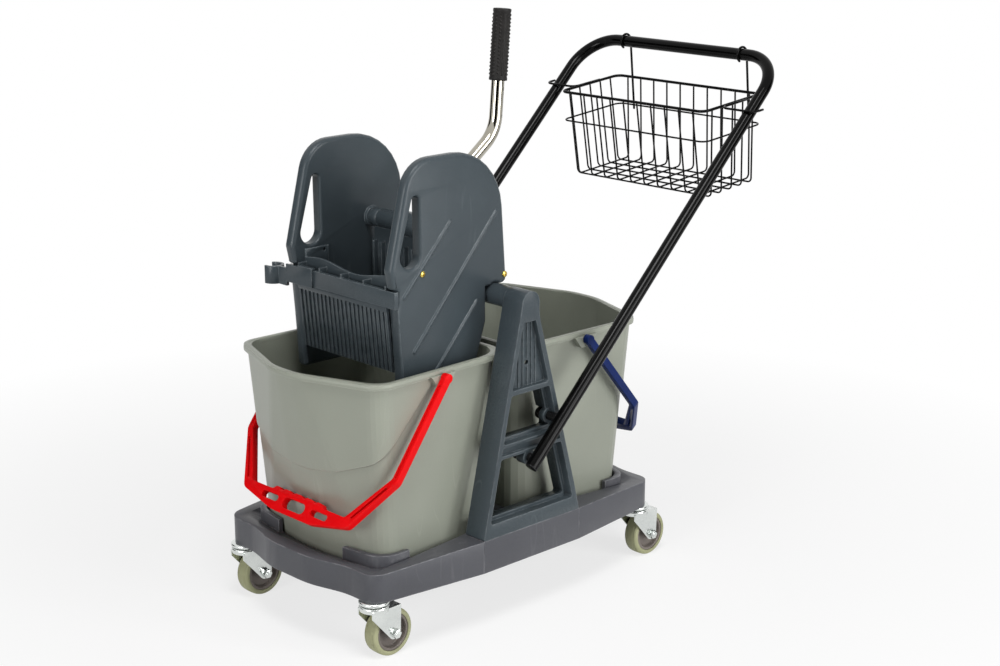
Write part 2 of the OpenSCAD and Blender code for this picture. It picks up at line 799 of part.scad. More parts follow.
// Bail, drawn hanging straight down from its pivot axis
module bail() {
    slot_z = -grip_in - slot_drop;
    difference() {
        union() {
            rotate([90, 0, 90]) translate([0, 0, -bail_t / 2]) linear_extrude(bail_t) difference() {
                polygon(rounded(concat(bail_side(), flip(bail_side())), 5));
                polygon(rounded(concat(flip(flip(bail_side_in())), flip(bail_side_in())), 4));
                for (s = [-1, 1]) {
                    polygon(rounded([for (p = bail_slot()) [s * p.x, p.y, 1.8]], 3));
                    translate([s * side_slot_y, slot_z]) rounded_slot(side_slot.x, side_slot.y);
                }
                translate([0, slot_z - cut]) rounded_slot(mid_slot.x, mid_slot.y);
                for (i = [-1.5:1.5]) translate([i * finger_step, -grip_in + slot_drop]) circle(r = finger_r);
            }
            both_sides() pin_across(0, 0, bail_t + 3, bail_y, bail_outer);
        }
        both_sides() {
            pin_across(0, 0, pin_d + 2 * run_fit, bail_y - cut, bail_outer - arm_cap);
            translate([-bail_t / 2 - cut, bail_y + arm_w * 0.3, -bail_elbow + 6])
                cube([cut + 2.5, arm_w * 0.4, bail_elbow - 20]);
        }
    }
}

// Long slot in the slanting part of a bail
function bail_slot() =
    let (a = [bail_outer - 7, -bail_elbow - 3],
        b = [grip_half + 1, -grip_in - 3],
        d = unit(b - a),
        n = [-d.y, d.x] * 2)
    [a + 10 * d + n, b - 6 * d + n, b - 6 * d - n, a + 10 * d - n];

// Slot with round ends, centred
module rounded_slot(l, h) {
    square([l - h, h], center = true);
    for (s = [-1, 1]) translate([s * (l - h) / 2, 0]) circle(d = h);
}

// Bail in place on the front bucket at the given angle from straight down
module bail_at(angle) {
    translate([-pivot_x, 0, pivot_z]) rotate([0, angle, 0]) bail();
}

// Teardrop through two circles [x, z, r]
module teardrop(a, b) {
    p = [a.x, a.y];
    q = [b.x, b.y];
    d = norm(q - p);
    lean = atan2(q.y - p.y, q.x - p.x);
    open = acos((a.z - b.z) / d);
    ends = [for (s = [-1, 1]) [cos(lean + s * open), sin(lean + s * open)]];
    polygon([p + a.z * ends[0], q + b.z * ends[0], q + b.z * ends[1], p + a.z * ends[1]]);
    translate(p) circle(r = a.z);
    translate(q) circle(r = b.z);
}

// Places on the side plates, from the crossbar axis
bar_front = -wringer_l;
plate_front = bar_front + 7;
plate_rear = -18.6;
front_bar_z = 11;
knee_z = 68;
heel_z = 14;
screw_places = [[18.5, 28], [plate_front + 47, 56]];
screw_d = 5;
hole_low = [bar_front + 32, 86, 19];
hole_high = [bar_front + 43, 167, 7];

// Side plate, drawn on the -Y side
module side_plate() {
    outer = -wringer_half;
    color(slate) difference() {
        union() {
            across(outer, -inside_half) difference() {
                polygon(rounded([[-26, -plate_drop, 6], [plate_front + 6, -plate_drop, 6],
                    [plate_front, front_bar_z - 4, 4], [plate_front, front_bar_z + front_bar_h, 0],
                    [bar_front - 0.5, front_bar_z + front_bar_h + 4, 3], [bar_front - 6.5, knee_z, 14],
                    [bar_front + 33, plate_top, 54], [10, plate_top, plate_round],
                    [25, heel_z, 9], [plate_rear, heel_z, 0], [plate_rear, -plate_drop + 40, 20]], 8));
                circle(d = bar_d + 2 * seat_gap);
                teardrop(hole_low, hole_high);
            }
            for (r = plate_ribs) translate([r[0].x, outer, r[0].y])
                rotate([0, -atan2(r[1].y - r[0].y, r[1].x - r[0].x), 0])
                    translate([0, -rib_proud, -rib_w / 2]) cube([norm(r[1] - r[0]), rib_proud + cut, rib_w]);
            pin_across(-shaft_x, shaft_z, shaft_d + 16, -inside_half - cut, -inside_half + 6);
        }
        pin_across(-shaft_x, shaft_z, bush_d + 2 * bolt_fit, outer + 6, -inside_half + 6 + cut);
        for (s = screw_places) pin_across(s.x, s.y, screw_d + 2 * bolt_fit, outer - cut, -inside_half + cut);
        rear_relief(outer);
    }
}

// Slope on the low rear corner of a side plate, so that the bucket can lift past it
relief = [29, 25, 87];
relief_top = -40;
module rear_relief(outer) {
    facing = unit([relief.y * relief.z, -relief.x * relief.z, -relief.x * relief.y]);
    intersection() {
        translate([plate_rear, outer, relief_top]) rotate([0, acos(facing.z), atan2(facing.y, facing.x)])
            translate([-far / 2, -far / 2, 0]) cube(far);
        translate([-far, -far, relief_top - far]) cube([2 * far, 2 * far, far]);
    }
}
rib_w = 4;
rib_proud = 1.8;
plate_ribs = [[[bar_front + 15, 24], [bar_front + 112, 129]], [[bar_front + 34, -62], [bar_front + 206, 131]],
    [[bar_front + 77, -100], [bar_front + 165, -2]]];

// Front bar with the wavy inner wall behind it and the ribs that join them
wall_x = plate_front + 10;
wall_t = 4;
wall_top = 48;
wall_low = -88;
wave_h = 5;
bar_t = 6.8;
brace_t = 3;
tab_h = 26;
tab_drop = 20;
module front_bar() {
    bar_top = front_bar_z + front_bar_h;
    wave = [for (i = [-8:8]) [i / 8 * panel_half, wall_top + wave_h * sin(i / 8 * 230 - 60)]];
    color(slate) difference() {
        union() {
            translate([bar_front, -wringer_half, front_bar_z]) cube([bar_t, wringer_w, front_bar_h]);
            translate([wall_x, 0, 0]) rotate([90, 0, 90]) linear_extrude(wall_t) difference() {
                polygon(concat([[panel_half, wall_low], [-panel_half, wall_low]], wave));
                for (i = [-4:4]) translate([i * panel_half / 4.8, (wall_low + front_bar_z) / 2])
                    rounded_slot_up(8, front_bar_z - wall_low - 24);
            }
            for (y = [-0.98, -0.5, 0, 0.5, 0.98])
                translate([bar_front + 2, y * (panel_half - brace_t / 2) - brace_t / 2, front_bar_z])
                    cube([wall_x - bar_front, brace_t, front_bar_h + 2 * brace_t]);
            both_sides() translate([wall_x, panel_half - brace_t, screw_places[1].y - tab_drop])
                cube([screw_places[1].x - wall_x + 8, brace_t, tab_h]);
        }
        both_sides() pin_across(screw_places[1].x, screw_places[1].y, screw_d + 2 * bolt_fit,
            panel_half - 4, panel_half + cut);
    }
}

// Upright slot with round ends, centred
module rounded_slot_up(w, h) {
    rotate(90) rounded_slot(h, w);
}

// Slatted grid below the front bar
grid_rake = 5;
module front_grid() {
    grid_half = panel_half - 2;
    top = front_bar_z - seat_gap;
    length = front_bar_z - wall_low + 2;
    pitch = (2 * grid_half - slat_w) / (slats - 1);
    color(slate) translate([bar_front + 1.5, 0, top]) {
        translate([0, -grid_half, -8]) cube([9, 2 * grid_half, 8]);
        rotate([0, -grid_rake, 0]) {
            for (i = [0:slats - 1]) translate([0.5, -grid_half + i * pitch, -length])
                cube([4, slat_w, length - 4]);
            translate([4, -grid_half, -length]) cube([2, 2 * grid_half, length - 4]);
        }
    }
}

// Slotted floor of the wringer
module sieve_floor() {
    x0 = wall_x;
    x1 = -34;
    floor_z = wall_low - 4 - seat_gap;
    color(slate) translate([0, 0, floor_z]) difference() {
        union() {
            translate([x0, -panel_half, 0]) cube([x1 - x0, 2 * panel_half, 4]);
            translate([x1 - 4, -panel_half, 0]) cube([4, 2 * panel_half, 16]);
        }
        for (i = [-5:5]) translate([(x0 + x1) / 2, i * panel_half / 6, -cut])
            linear_extrude(4 + 2 * cut) rounded_slot(x1 - x0 - 40, 9);
    }
}

// Saddle between the plates that hooks over the crossbar
saddle_t = 5;
saddle_front = 14;
saddle_step = 8;
saddle_up = 19;
saddle_low = 12;
module rear_saddle() {
    over = bar_d / 2 + seat_gap;
    color(slate) difference() {
        across(-panel_half, panel_half) polygon([[-saddle_front, over], [-saddle_front, over + saddle_t],
            [saddle_step, over + saddle_t], [saddle_step, over + saddle_up],
            [over + saddle_t + cut, over + saddle_up], [over + saddle_t + cut, -saddle_low],
            [over + cut, -saddle_low], [over + cut, over]]);
        both_sides() pin_across(screw_places[0].x, screw_places[0].y, screw_d + 2 * bolt_fit,
            panel_half - 14, panel_half + cut);
    }
}

// Clip for a mop handle, on a bracket that hooks over the left end of the front bar
clip_y = wringer_half + 36;
clip_wall = 4.5;
clip_open = 120;
bracket_l = 62;
bracket_t = 3;
hook_in = 8;
ring_drop = 7;
module mop_clip() {
    clip_r = mop_d / 2;
    face = bar_front - seat_gap;
    z0 = front_bar_z - 1;
    ring_z = z0 - ring_drop;
    h = front_bar_h + 2;
    color(slate) {
        translate([face - bracket_t, wringer_half - bracket_l, z0]) cube([bracket_t, bracket_l + cut, h]);
        translate([face - bracket_t, wringer_half - bracket_l, z0 + h - 2 * seat_gap])
            cube([hook_in, bracket_l - hook_in - plate_t, bracket_t]);
        translate([face - bracket_t, wringer_half + seat_gap, ring_z])
            cube([bracket_t + 2, clip_y - wringer_half - clip_r - clip_wall / 3, h]);
        translate([face, clip_y, ring_z]) rotate([0, 0, 90 + 25 + clip_open / 2]) linear_extrude(h) {
            difference() {
                circle(r = clip_r + clip_wall);
                circle(r = clip_r);
                polygon([[0, 0], for (a = [0:20:clip_open]) 40 * [cos(a - clip_open), sin(a - clip_open)]]);
            }
            for (a = [0, -clip_open]) rotate(a) translate([clip_r + clip_wall / 2, 0]) circle(d = clip_wall);
        }
    }
}

// Yellow zinc screws through the side plates
module wringer_screws() {
    color(brass) both_sides() for (i = [0, 1]) {
        length = plate_t + [12, 2.6][i];
        pin_across(screw_places[i].x, screw_places[i].y, screw_d, wringer_half - length, wringer_half + cut);
        pin_across(screw_places[i].x, screw_places[i].y, screw_d * 1.9, wringer_half, wringer_half + 2.5);
    }
}

// Shaft that the press turns on
bush_d = shaft_d + 6;
bush_l = 16;
shaft_half = inside_half + 6;
module press_shaft() {
    color(zinc) pin_across(-shaft_x, shaft_z, shaft_d, -shaft_half, shaft_half);
}

// Nylon bushes that hold the shaft in the side plates
module shaft_bushes() {
    color([0.85, 0.84, 0.8]) both_sides() difference() {
        pin_across(-shaft_x, shaft_z, bush_d, inside_half - 6.5, inside_half + 13);
        pin_across(-shaft_x, shaft_z, shaft_d + 2 * run_fit, inside_half - 7, shaft_half + seat_gap);
    }
}

// Coil of a return spring: points of its centre line
rings = 8;
sides = 6;
spring_r = (shaft_d / 2 + spring_wire / 2 + seat_gap) / cos(180 / rings);
spring_pitch = spring_wire + 0.6;
function spring_point(i) = [
    spring_r * cos(i * 360 / rings),
    spring_r * sin(i * 360 / rings),
    i * spring_pitch / rings
];
spring_line = [for (i = [0:rings * spring_coils]) spring_point(i)];
spring_self_gap = min([for (i = [0:len(spring_line) - 1]) for (j = [i + rings / 2:1:len(spring_line) - 1])
    norm(spring_line[i] - spring_line[j])]) - spring_wire;
echo(spring_self_gap = spring_self_gap);

// One coil as an unbroken six sided tube
module spring_coil() {
    n = len(spring_line);
    points = [for (i = [0:n - 1])
        let (a = i * 360 / rings,
            radial = [cos(a), sin(a), 0],
            along = unit([-spring_r * sin(a), spring_r * cos(a), spring_pitch / 360 * 180 / PI]),
            normal = cross(along, radial))
        for (k = [0:sides - 1])
            spring_line[i] + spring_wire / 2
                * (cos(k * 360 / sides) * radial + sin(k * 360 / sides) * normal)];
    tube = [for (i = [0:n - 2]) for (k = [0:sides - 1])
        let (a = i * sides + k, b = i * sides + (k + 1) % sides)
        each [[a, b, b + sides], [a, b + sides, a + sides]]];
    last = (n - 1) * sides;
    caps = [for (k = [1:sides - 2]) each [[0, k + 1, k], [last, last + k, last + k + 1]]];
    polyhedron(points, concat(tube, caps));
}

// Return springs on the shaft, between the hub and the bushes
hub_half = inside_half - 7 - spring_coils * spring_pitch - spring_wire - 2 * seat_gap;
module return_springs() {
    color(zinc) both_sides() translate([-shaft_x, hub_half + seat_gap + spring_wire / 2, shaft_z])
        rotate([-90, 0, 0]) spring_coil();
}

// Hub tube of the press
module press_hub() {
    color(slate) difference() {
        pin_across(-shaft_x, shaft_z, hub_d, -hub_half, hub_half);
        pin_across(-shaft_x, shaft_z, shaft_d + 2 * run_fit, -hub_half - cut, hub_half + cut);
    }
}

// Ribbed press plate that hangs from the hub
press_half = panel_half - 8;
collar_d = hub_d + 9;
collar_half = 24;
module press_plate() {
    plate = 6;
    rib = 9;
    color(slate) translate([-shaft_x, 0, shaft_z]) difference() {
        union() {
            translate([-plate / 2, -press_half, -press_l])
                cube([plate, 2 * press_half, press_l - hub_d / 2 + 4]);
            for (i = [-5:5]) translate([-plate / 2 - rib, i * press_half / 5.4 - 2, -press_l])
                cube([rib + cut, 4, press_l - hub_d - 6]);
            translate([plate / 2 - cut, -press_half, -press_l]) cube([8, 2 * press_half, 5]);
            for (i = [-1, 1]) translate([plate / 2 - cut, i * press_half * 0.5 - 2.5, -press_l])
                cube([10, 5, press_l - hub_d / 2]);
        }
        pin_across(0, 0, hub_d + 0.2, -far, far);
        pin_across(0, 0, collar_d + 2 * seat_gap, -collar_half - seat_gap, collar_half + seat_gap);
        for (i = [-4.5:4.5]) translate([0, i * press_half / 5.4, -press_l * 0.56]) rotate([90, 0, 90])
            linear_extrude(far, center = true) rounded_slot_up(7, press_l * 0.5);
    }
}

// Path of the lever in its own plane, from the shaft
lever_bend = 60;
lever_start = hub_d / 2 + 4;
function lever_point(s) = s * [cos(lever_angle), 0, sin(lever_angle)];
lever_wall = 1.5;
socket_l = 64;

// Socket on the hub that takes the lever
module lever_socket() {
    color(slate) translate([-shaft_x, 0, shaft_z]) difference() {
        union() {
            rod([0, 0, 0], lever_point(socket_l), lever_d / 2 + 4);
            pin_across(0, 0, collar_d, -collar_half, collar_half);
        }
        pin_across(0, 0, hub_d + 0.2, -far, far);
        rod(lever_point(lever_start - 0.2), lever_point(far), lever_d / 2 + 0.1);
        translate(lever_point(socket_l - 18)) rotate([90, 0, 0])
            cylinder(d = screw_d + 2 * bolt_fit, h = far, center = true);
    }
}

// Bent lever tube
module lever_tube() {
    r = lever_d / 2;
    sweep = lever_up_angle - lever_angle;
    tangent = lever_bend * tan(sweep / 2);
    color(chrome) translate([-shaft_x, 0, shaft_z]) difference() {
        rotate([0, 90 - lever_angle, 0]) translate([0, 0, lever_start]) rotate([0, 0, 180])
            run(lever_low - lever_start - tangent, r, lever_wall)
            turn(sweep, lever_bend, r, lever_wall) run(lever_up - tangent, r, lever_wall);
        translate(lever_point(socket_l - 18)) rotate([90, 0, 0])
            cylinder(d = screw_d + 2 * bolt_fit, h = far, center = true);
    }
}

// Cross screw that holds the lever in its socket
module lever_screw() {
    half = lever_d / 2 + 4;
    head_h = 3;
    color(zinc) translate([-shaft_x, 0, shaft_z] + lever_point(socket_l - 18)) rotate([90, 0, 0]) {
        cylinder(d = screw_d, h = 2 * half + 4, center = true);
        for (s = [-1, 1]) translate([0, 0, s * (half + head_h / 2)])
            cylinder(d = screw_d * 1.9, h = head_h, center = true);
    }
}

// Rubber grip with a flange at each end
module lever_grip() {
    top = lever_point(lever_low) + lever_up * [cos(lever_up_angle), 0, sin(lever_up_angle)];
    color(black) translate([-shaft_x, 0, shaft_z] + top) rotate([0, 90 - lever_up_angle, 0]) difference() {
        rotate_extrude() polygon(rounded([[0, 2, 0], [0, -grip_l, 0], [lever_d / 2 + grip_t, -grip_l, 1],
            [lever_d / 2 + grip_t - 0.6, -grip_l / 2, 0], [lever_d / 2 + grip_t, 2, 2]], 4));
        translate([0, 0, -grip_l - cut]) cylinder(d = lever_d + 0.2, h = grip_l + cut + 0.1);
    }
}

// Turns basket pieces, drawn under the middle of the handle bar, into place
module basket_at() {
    translate(handle_bar) rotate([0, -basket_tilt, 0]) children();
}

// Sizes of the basket round the wires
wire_gap = 0.15;
hook_r = tube_d / 2 + wire_d / 2 + 0.5;
basket_back_x = hook_r - wire_d / 2 - rim_d / 2 - wire_gap;
basket_mid_x = basket_back_x - basket_l / 2;
rim_drop = -basket_drop;
leg_top = rim_drop - rim_d / 2 - wire_gap;
leg_low = rim_drop - basket_h;
wire_bend = 8;
ring_depth = 51;
long_step = (basket_w - 2 * basket_lean - 30) / (long_wires - 1);
short_step = (basket_l - 2 * basket_lean - 24) / (short_wires - 1);
long_y = [for (i = [0:long_wires - 1]) (i - (long_wires - 1) / 2) * long_step];
short_x = [for (i = [0:short_wires - 1]) (i - (short_wires - 1) / 2) * short_step];

stub = 14;

// Thick wire round the mouth of the basket
module basket_rim() {
    color(black) basket_at()
        wire_ring(basket_back_x - basket_l, basket_back_x, basket_w / 2, rim_drop, rim_d / 2, stub);
}

// Wire round the outside of the basket, part of the way down
module basket_ring() {
    out = snap(wire_d + wire_gap - basket_lean * ring_depth / basket_h);
    color(black) basket_at() wire_ring(basket_back_x - basket_l - out, basket_back_x + out,
        basket_w / 2 + out, rim_drop - ring_depth, wire_d / 2, stub);
}

// Side wires at the given places, at a distance half from the middle of the basket: each
// leaves the floor level at low and leans out to the rim
module basket_legs(half, places, low) {
    slope = atan(basket_lean / (leg_top - low));
    sweep = 90 - slope;
    tangent = wire_bend * tan(sweep / 2);
    color(black) for (y = places) translate([half - basket_lean - stub, y, low])
        rotate([0, 90, 0]) rotate([0, 0, 180]) run(stub - tangent, wire_d / 2)
            turn(sweep, wire_bend, wire_d / 2) run((leg_top - low) / cos(slope) - tangent, wire_d / 2);
}

// Wires of the front and back of the basket
module basket_front() {
    basket_at() translate([basket_mid_x, 0, 0]) rotate([0, 0, 180])
        basket_legs(basket_l / 2, long_y, leg_low);
}
module basket_back() {
    basket_at() translate([basket_mid_x, 0, 0]) basket_legs(basket_l / 2, long_y, leg_low);
}

// Wires of one short side, drawn on the left
module basket_side() {
    basket_at() translate([basket_mid_x, 0, 0]) rotate([0, 0, 90])
        basket_legs(basket_w / 2, short_x, leg_low - wire_d - wire_gap);
}

// Floor wires of the basket, in two layers
module basket_floor() {
    reach_x = basket_l / 2 - basket_lean - stub;
    reach_y = basket_w / 2 - basket_lean - stub;
    low = leg_low - wire_d - wire_gap;
    color(black) basket_at() translate([basket_mid_x, 0, 0]) {
        for (y = long_y) rod([-reach_x, y, leg_low], [reach_x, y, leg_low], wire_d / 2);
        for (x = short_x) rod([x, -reach_y, low], [x, reach_y, low], wire_d / 2);
    }
}

// Hooks over the handle bar, with hangers down behind the back of the basket
module basket_hooks() {
    hang = rim_drop - ring_depth - 8;
    color(black) basket_at() both_sides() translate([0, hook_span / 2, 0]) {
        rotate([90, 0, 0]) rotate_extrude(angle = 182) translate([hook_r, 0]) circle(d = wire_d);
        translate([hook_r, 0, hang]) cylinder(d = wire_d, h = -hang);
    }
}

// Side hooks that rest on the handle legs
module basket_side_hooks() {
    r = wire_d / 2;
    bend = 8;
    start_y = basket_w / 2 + rim_d / 2 + r + wire_gap;
    end_y = handle_y + tube_d / 2 + bend;
    leg_slope = handle_angle - basket_tilt;
    start_x = basket_mid_x + 30;
    rest_x = rim_drop / tan(leg_slope) - (tube_d / 2 + r + seat_gap) / sin(leg_slope);
    color(black) basket_at() both_sides() translate([start_x, start_y, rim_drop])
        rotate([0, -90, 0]) rotate([0, 0, 90]) run(start_x - rest_x - bend, r) turn(90, bend, r)
            run(end_y - start_y - 2 * bend, r) turn(90, bend, r) run(bend, r);
}

tray();  // front_tray
centre_section();
rotate([0, 0, 180]) tray();  // rear_tray
upright();  // right_upright
mirror([0, 1, 0]) upright();  // left_upright
upright_screws();
crossbar();
caster_mounts();
push_handle();
handle_spacers();
handle_bolts();
handle_nuts();
handle_end_caps();
wringer_at() side_plate();  // right_side_plate
wringer_at() mirror([0, 1, 0]) side_plate();  // left_side_plate
wringer_at() front_bar();
wringer_at() front_grid();
wringer_at() sieve_floor();
wringer_at() rear_saddle();
wringer_at() mop_clip();
wringer_at() wringer_screws();
wringer_at() press_shaft();
wringer_at() shaft_bushes();
wringer_at() return_springs();
wringer_at() press_hub();
wringer_at() press_plate();
wringer_at() lever_socket();
wringer_at() lever_tube();
wringer_at() lever_grip();
wringer_at() lever_screw();
bucket();  // front_bucket
color([0.85, 0.02, 0.04]) bail_at(front_bail_rest);  // front_bail
rotate([0, 0, 180]) bucket();  // rear_bucket
color([0.05, 0.12, 0.35]) rotate([0, 0, 180]) bail_at(rear_bail_rest);  // rear_bail
basket_rim();
basket_ring();
basket_front();
basket_back();
basket_side();  // basket_left
mirror([0, 1, 0]) basket_side();  // basket_right
basket_floor();
basket_hooks();
basket_side_hooks();
caster_at(-1, -1) fork();  // front_right_fork
wheel_at(-1, -1) wheel();  // front_right_wheel
wheel_at(-1, -1) tyre();  // front_right_tyre
wheel_at(-1, -1) axle();  // front_right_axle
caster_at(-1, 1) fork();  // front_left_fork
wheel_at(-1, 1) wheel();  // front_left_wheel
wheel_at(-1, 1) tyre();  // front_left_tyre
wheel_at(-1, 1) axle();  // front_left_axle
caster_at(1, -1) fork();  // rear_right_fork
wheel_at(1, -1) wheel();  // rear_right_wheel
wheel_at(1, -1) tyre();  // rear_right_tyre
wheel_at(1, -1) axle();  // rear_right_axle
caster_at(1, 1) fork();  // rear_left_fork
wheel_at(1, 1) wheel();  // rear_left_wheel
wheel_at(1, 1) tyre();  // rear_left_tyre
wheel_at(1, 1) axle();  // rear_left_axle

// Moves wringer pieces from the crossbar axis to their place
module wringer_at() {
    translate([bar_x, 0, bar_z]) children();
}
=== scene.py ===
import json
import math

import bmesh
import bpy
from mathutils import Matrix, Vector
from mathutils.geometry import tessellate_polygon

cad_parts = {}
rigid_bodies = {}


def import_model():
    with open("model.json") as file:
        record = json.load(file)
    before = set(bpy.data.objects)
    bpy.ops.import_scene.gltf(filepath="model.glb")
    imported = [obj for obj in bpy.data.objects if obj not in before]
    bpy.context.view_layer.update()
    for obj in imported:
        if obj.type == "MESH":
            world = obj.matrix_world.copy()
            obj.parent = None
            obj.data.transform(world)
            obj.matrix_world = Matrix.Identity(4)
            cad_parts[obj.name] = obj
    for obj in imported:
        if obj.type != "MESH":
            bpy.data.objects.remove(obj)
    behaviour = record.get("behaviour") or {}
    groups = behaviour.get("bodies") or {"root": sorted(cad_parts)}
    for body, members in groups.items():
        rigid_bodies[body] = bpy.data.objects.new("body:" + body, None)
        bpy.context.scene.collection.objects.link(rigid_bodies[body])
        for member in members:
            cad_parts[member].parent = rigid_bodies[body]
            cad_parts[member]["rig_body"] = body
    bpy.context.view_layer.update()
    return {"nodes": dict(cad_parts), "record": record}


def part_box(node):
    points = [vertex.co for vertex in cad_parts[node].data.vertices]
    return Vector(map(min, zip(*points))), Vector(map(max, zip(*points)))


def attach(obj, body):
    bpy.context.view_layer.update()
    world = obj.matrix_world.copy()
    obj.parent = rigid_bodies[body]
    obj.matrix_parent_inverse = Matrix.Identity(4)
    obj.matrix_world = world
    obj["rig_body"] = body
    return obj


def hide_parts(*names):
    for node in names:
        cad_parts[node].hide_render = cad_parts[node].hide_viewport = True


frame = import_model()
nodes = frame["nodes"]
slotOf = {part["node"]: part["material_slot"] for part in frame["record"]["subparts"]}
print("frame loaded:", len(nodes), "nodes")


class Wire:  # an output socket, so that shader sums read as sums
    def __init__(self, finish, socket):
        self.finish = finish
        self.socket = socket

    def sums(self, operation, first, second):
        return self.finish.add("Math", {"operation": operation}, {0: first, 1: second})

    def __add__(self, other):
        return self.sums("ADD", self, other)

    def __radd__(self, other):
        return self.sums("ADD", other, self)

    def __sub__(self, other):
        return self.sums("SUBTRACT", self, other)

    def __rsub__(self, other):
        return self.sums("SUBTRACT", other, self)

    def __mul__(self, other):
        return self.sums("MULTIPLY", self, other)

    def __rmul__(self, other):
        return self.sums("MULTIPLY", other, self)

    def __abs__(self):
        return self.finish.add("Math", {"operation": "ABSOLUTE"}, {0: self})


class Finish:  # the node tree of a material or of the world
    def __init__(self, owner):
        owner.use_nodes = True
        self.owner = owner
        self.tree = owner.node_tree
        self.tree.nodes.clear()
        self.spots = {}

    def add(self, kind, settings=None, sockets=None, output=0):
        node = self.tree.nodes.new("ShaderNode" + kind)
        for key, value in (settings or {}).items():
            setattr(node, key, value)
        for key, value in (sockets or {}).items():
            if isinstance(value, Wire):
                self.tree.links.new(value.socket, node.inputs[key])
            else:
                node.inputs[key].default_value = value
        return Wire(self, node.outputs[output]) if node.outputs else None

    def spot(self, stretch=(1, 1, 1)):  # place on the piece in metres
        if stretch not in self.spots:
            here = self.add("TexCoord", output=3)
            self.spots[stretch] = self.add("Mapping", {}, {"Vector": here, "Scale": stretch})
        return self.spots[stretch]

    def noise(self, scale, detail=2.0, stretch=(1, 1, 1)):
        return self.add("TexNoise", {}, {"Vector": self.spot(stretch), "Scale": scale, "Detail": detail})

    def patches(self, scale, detail, low, high):  # blotches of a noise
        return self.band(self.noise(scale, detail), low, high)

    def cells(self, scale):  # random shade of each crystal
        sockets = {"Vector": self.spot(), "Scale": scale}
        return self.add("TexVoronoi", {"feature": "F1"}, sockets, output=1)

    def mix(self, share, first, second):
        return self.add("Mix", {"data_type": "RGBA"}, {0: share, 6: first, 7: second}, output=2)

    def band(self, value, low, high):  # 0 up to low, 1 from high
        return self.add("MapRange", {"clamp": True}, {"Value": value, "From Min": low, "From Max": high})

    def hairlines(self, scale, stretch, width):  # where a stretched noise crosses its middle
        return self.band(abs(self.noise(scale, 1.0, stretch) - 0.5), width, 0.0)

    def soft(self, radius):  # normal rounded over the edges
        return self.add("Bevel", {"samples": 4}, {"Radius": radius})

    def corner(self, radius, low, high):  # how near an edge is
        plain = self.add("NewGeometry", output=3)
        along = self.add("VectorMath", {"operation": "DOT_PRODUCT"},
                         {0: self.soft(radius), 1: plain}, output=1)
        return self.band(1 - along, low, high)

    def bump(self, height, strength, distance, normal=None):
        sockets = {"Height": height, "Strength": strength, "Distance": distance}
        if normal:
            sockets["Normal"] = normal
        return self.add("Bump", {}, sockets)

    def close(self, sockets):
        shader = self.add("BsdfPrincipled", {}, sockets)
        self.add("OutputMaterial", {}, {"Surface": shader})
        return self.owner


def srgb(red, green, blue):  # screen colour to a linear one
    parts = [c / 255 for c in (red, green, blue)]
    return tuple(c / 12.92 if c <= 0.04045 else ((c + 0.055) / 1.055) ** 2.4 for c in parts) + (1.0,)


def mouldedPlastic(name, look):
    f = Finish(bpy.data.materials.new(name))
    drift = f.noise(look["drift"], 3.0)  # slow change of shade in the moulding
    grain = f.noise(look["grain"], 2.0)  # texture of the mould
    rubbed = f.hairlines(*look["rubLines"]) * f.patches(*look["rubPatch"])
    # edges are lightened toward the worn colour: partly real wear, partly a painted highlight along the
    # edges
    edge = f.corner(look["edge"] * 2, *look["edgeFade"]) * f.patches(*look["edgePatch"])
    colour = f.mix(f.band(drift, *look["shade"]), look["deep"], look["pale"])
    colour = f.mix(f.band(grain, *look["fleckFade"]) * look["fleck"], colour, look["wornAndHighlight"])
    colour = f.mix(edge * look["wearAndEdgeHighlight"], colour, look["wornAndHighlight"])
    colour = f.mix(rubbed * look["rubbed"], colour, look["wornAndHighlight"])
    byDrift, byGrain, byEdge = look["roughBy"]
    rough = look["rough"] + (drift - 0.5) * byDrift + (grain - 0.5) * byGrain - edge * byEdge
    normal = f.bump(grain, look["depth"], look["relief"], f.soft(look["edge"]))
    return f.close({"Base Color": colour, "Roughness": rough, "Normal": normal,
                    "Specular IOR Level": look["gloss"]})


def paintedSteel(name, look):
    f = Finish(bpy.data.materials.new(name))
    peel = f.noise(look["peel"], 2.0)  # orange peel of the powder coat
    dust = f.patches(*look["dustPatch"])
    wornAndHighlight = f.hairlines(*look["wornLines"]) * f.patches(*look["wornPatch"])
    colour = f.mix(f.patches(*look["shade"]), look["deep"], look["pale"])
    colour = f.mix(dust * look["dusty"], colour, look["dust"])
    colour = f.mix(wornAndHighlight * look["wearAndEdgeHighlight"], colour, look["dust"])
    byDust, byPeel = look["roughBy"]
    rough = look["rough"] + dust * byDust + (peel - 0.5) * byPeel
    normal = f.bump(peel, look["depth"], look["relief"])
    return f.close({"Base Color": colour, "Roughness": rough, "Normal": normal,
                    "Specular IOR Level": look["gloss"]})


def platedMetal(name, look):
    f = Finish(bpy.data.materials.new(name))
    crystal = f.add("SeparateColor", {}, {0: f.cells(look["crystal"])})
    drift = f.noise(look["drift"], 3.0)
    lines = f.hairlines(*look["drawLines"])  # marks of drawing and rolling
    colour = f.mix(f.band(drift, *look["shade"]), look["deep"], look["pale"])
    colour = f.mix(crystal * look["spangle"], colour, look["bloom"])
    byDrift, byCrystal, byLines = look["roughBy"]
    rough = look["rough"] + drift * byDrift + crystal * look["spangle"] * byCrystal + lines * byLines
    normal = f.bump(lines + drift * look["sway"], look["depth"], look["relief"])
    return f.close({"Base Color": colour, "Roughness": rough, "Normal": normal, "Metallic": 1.0})


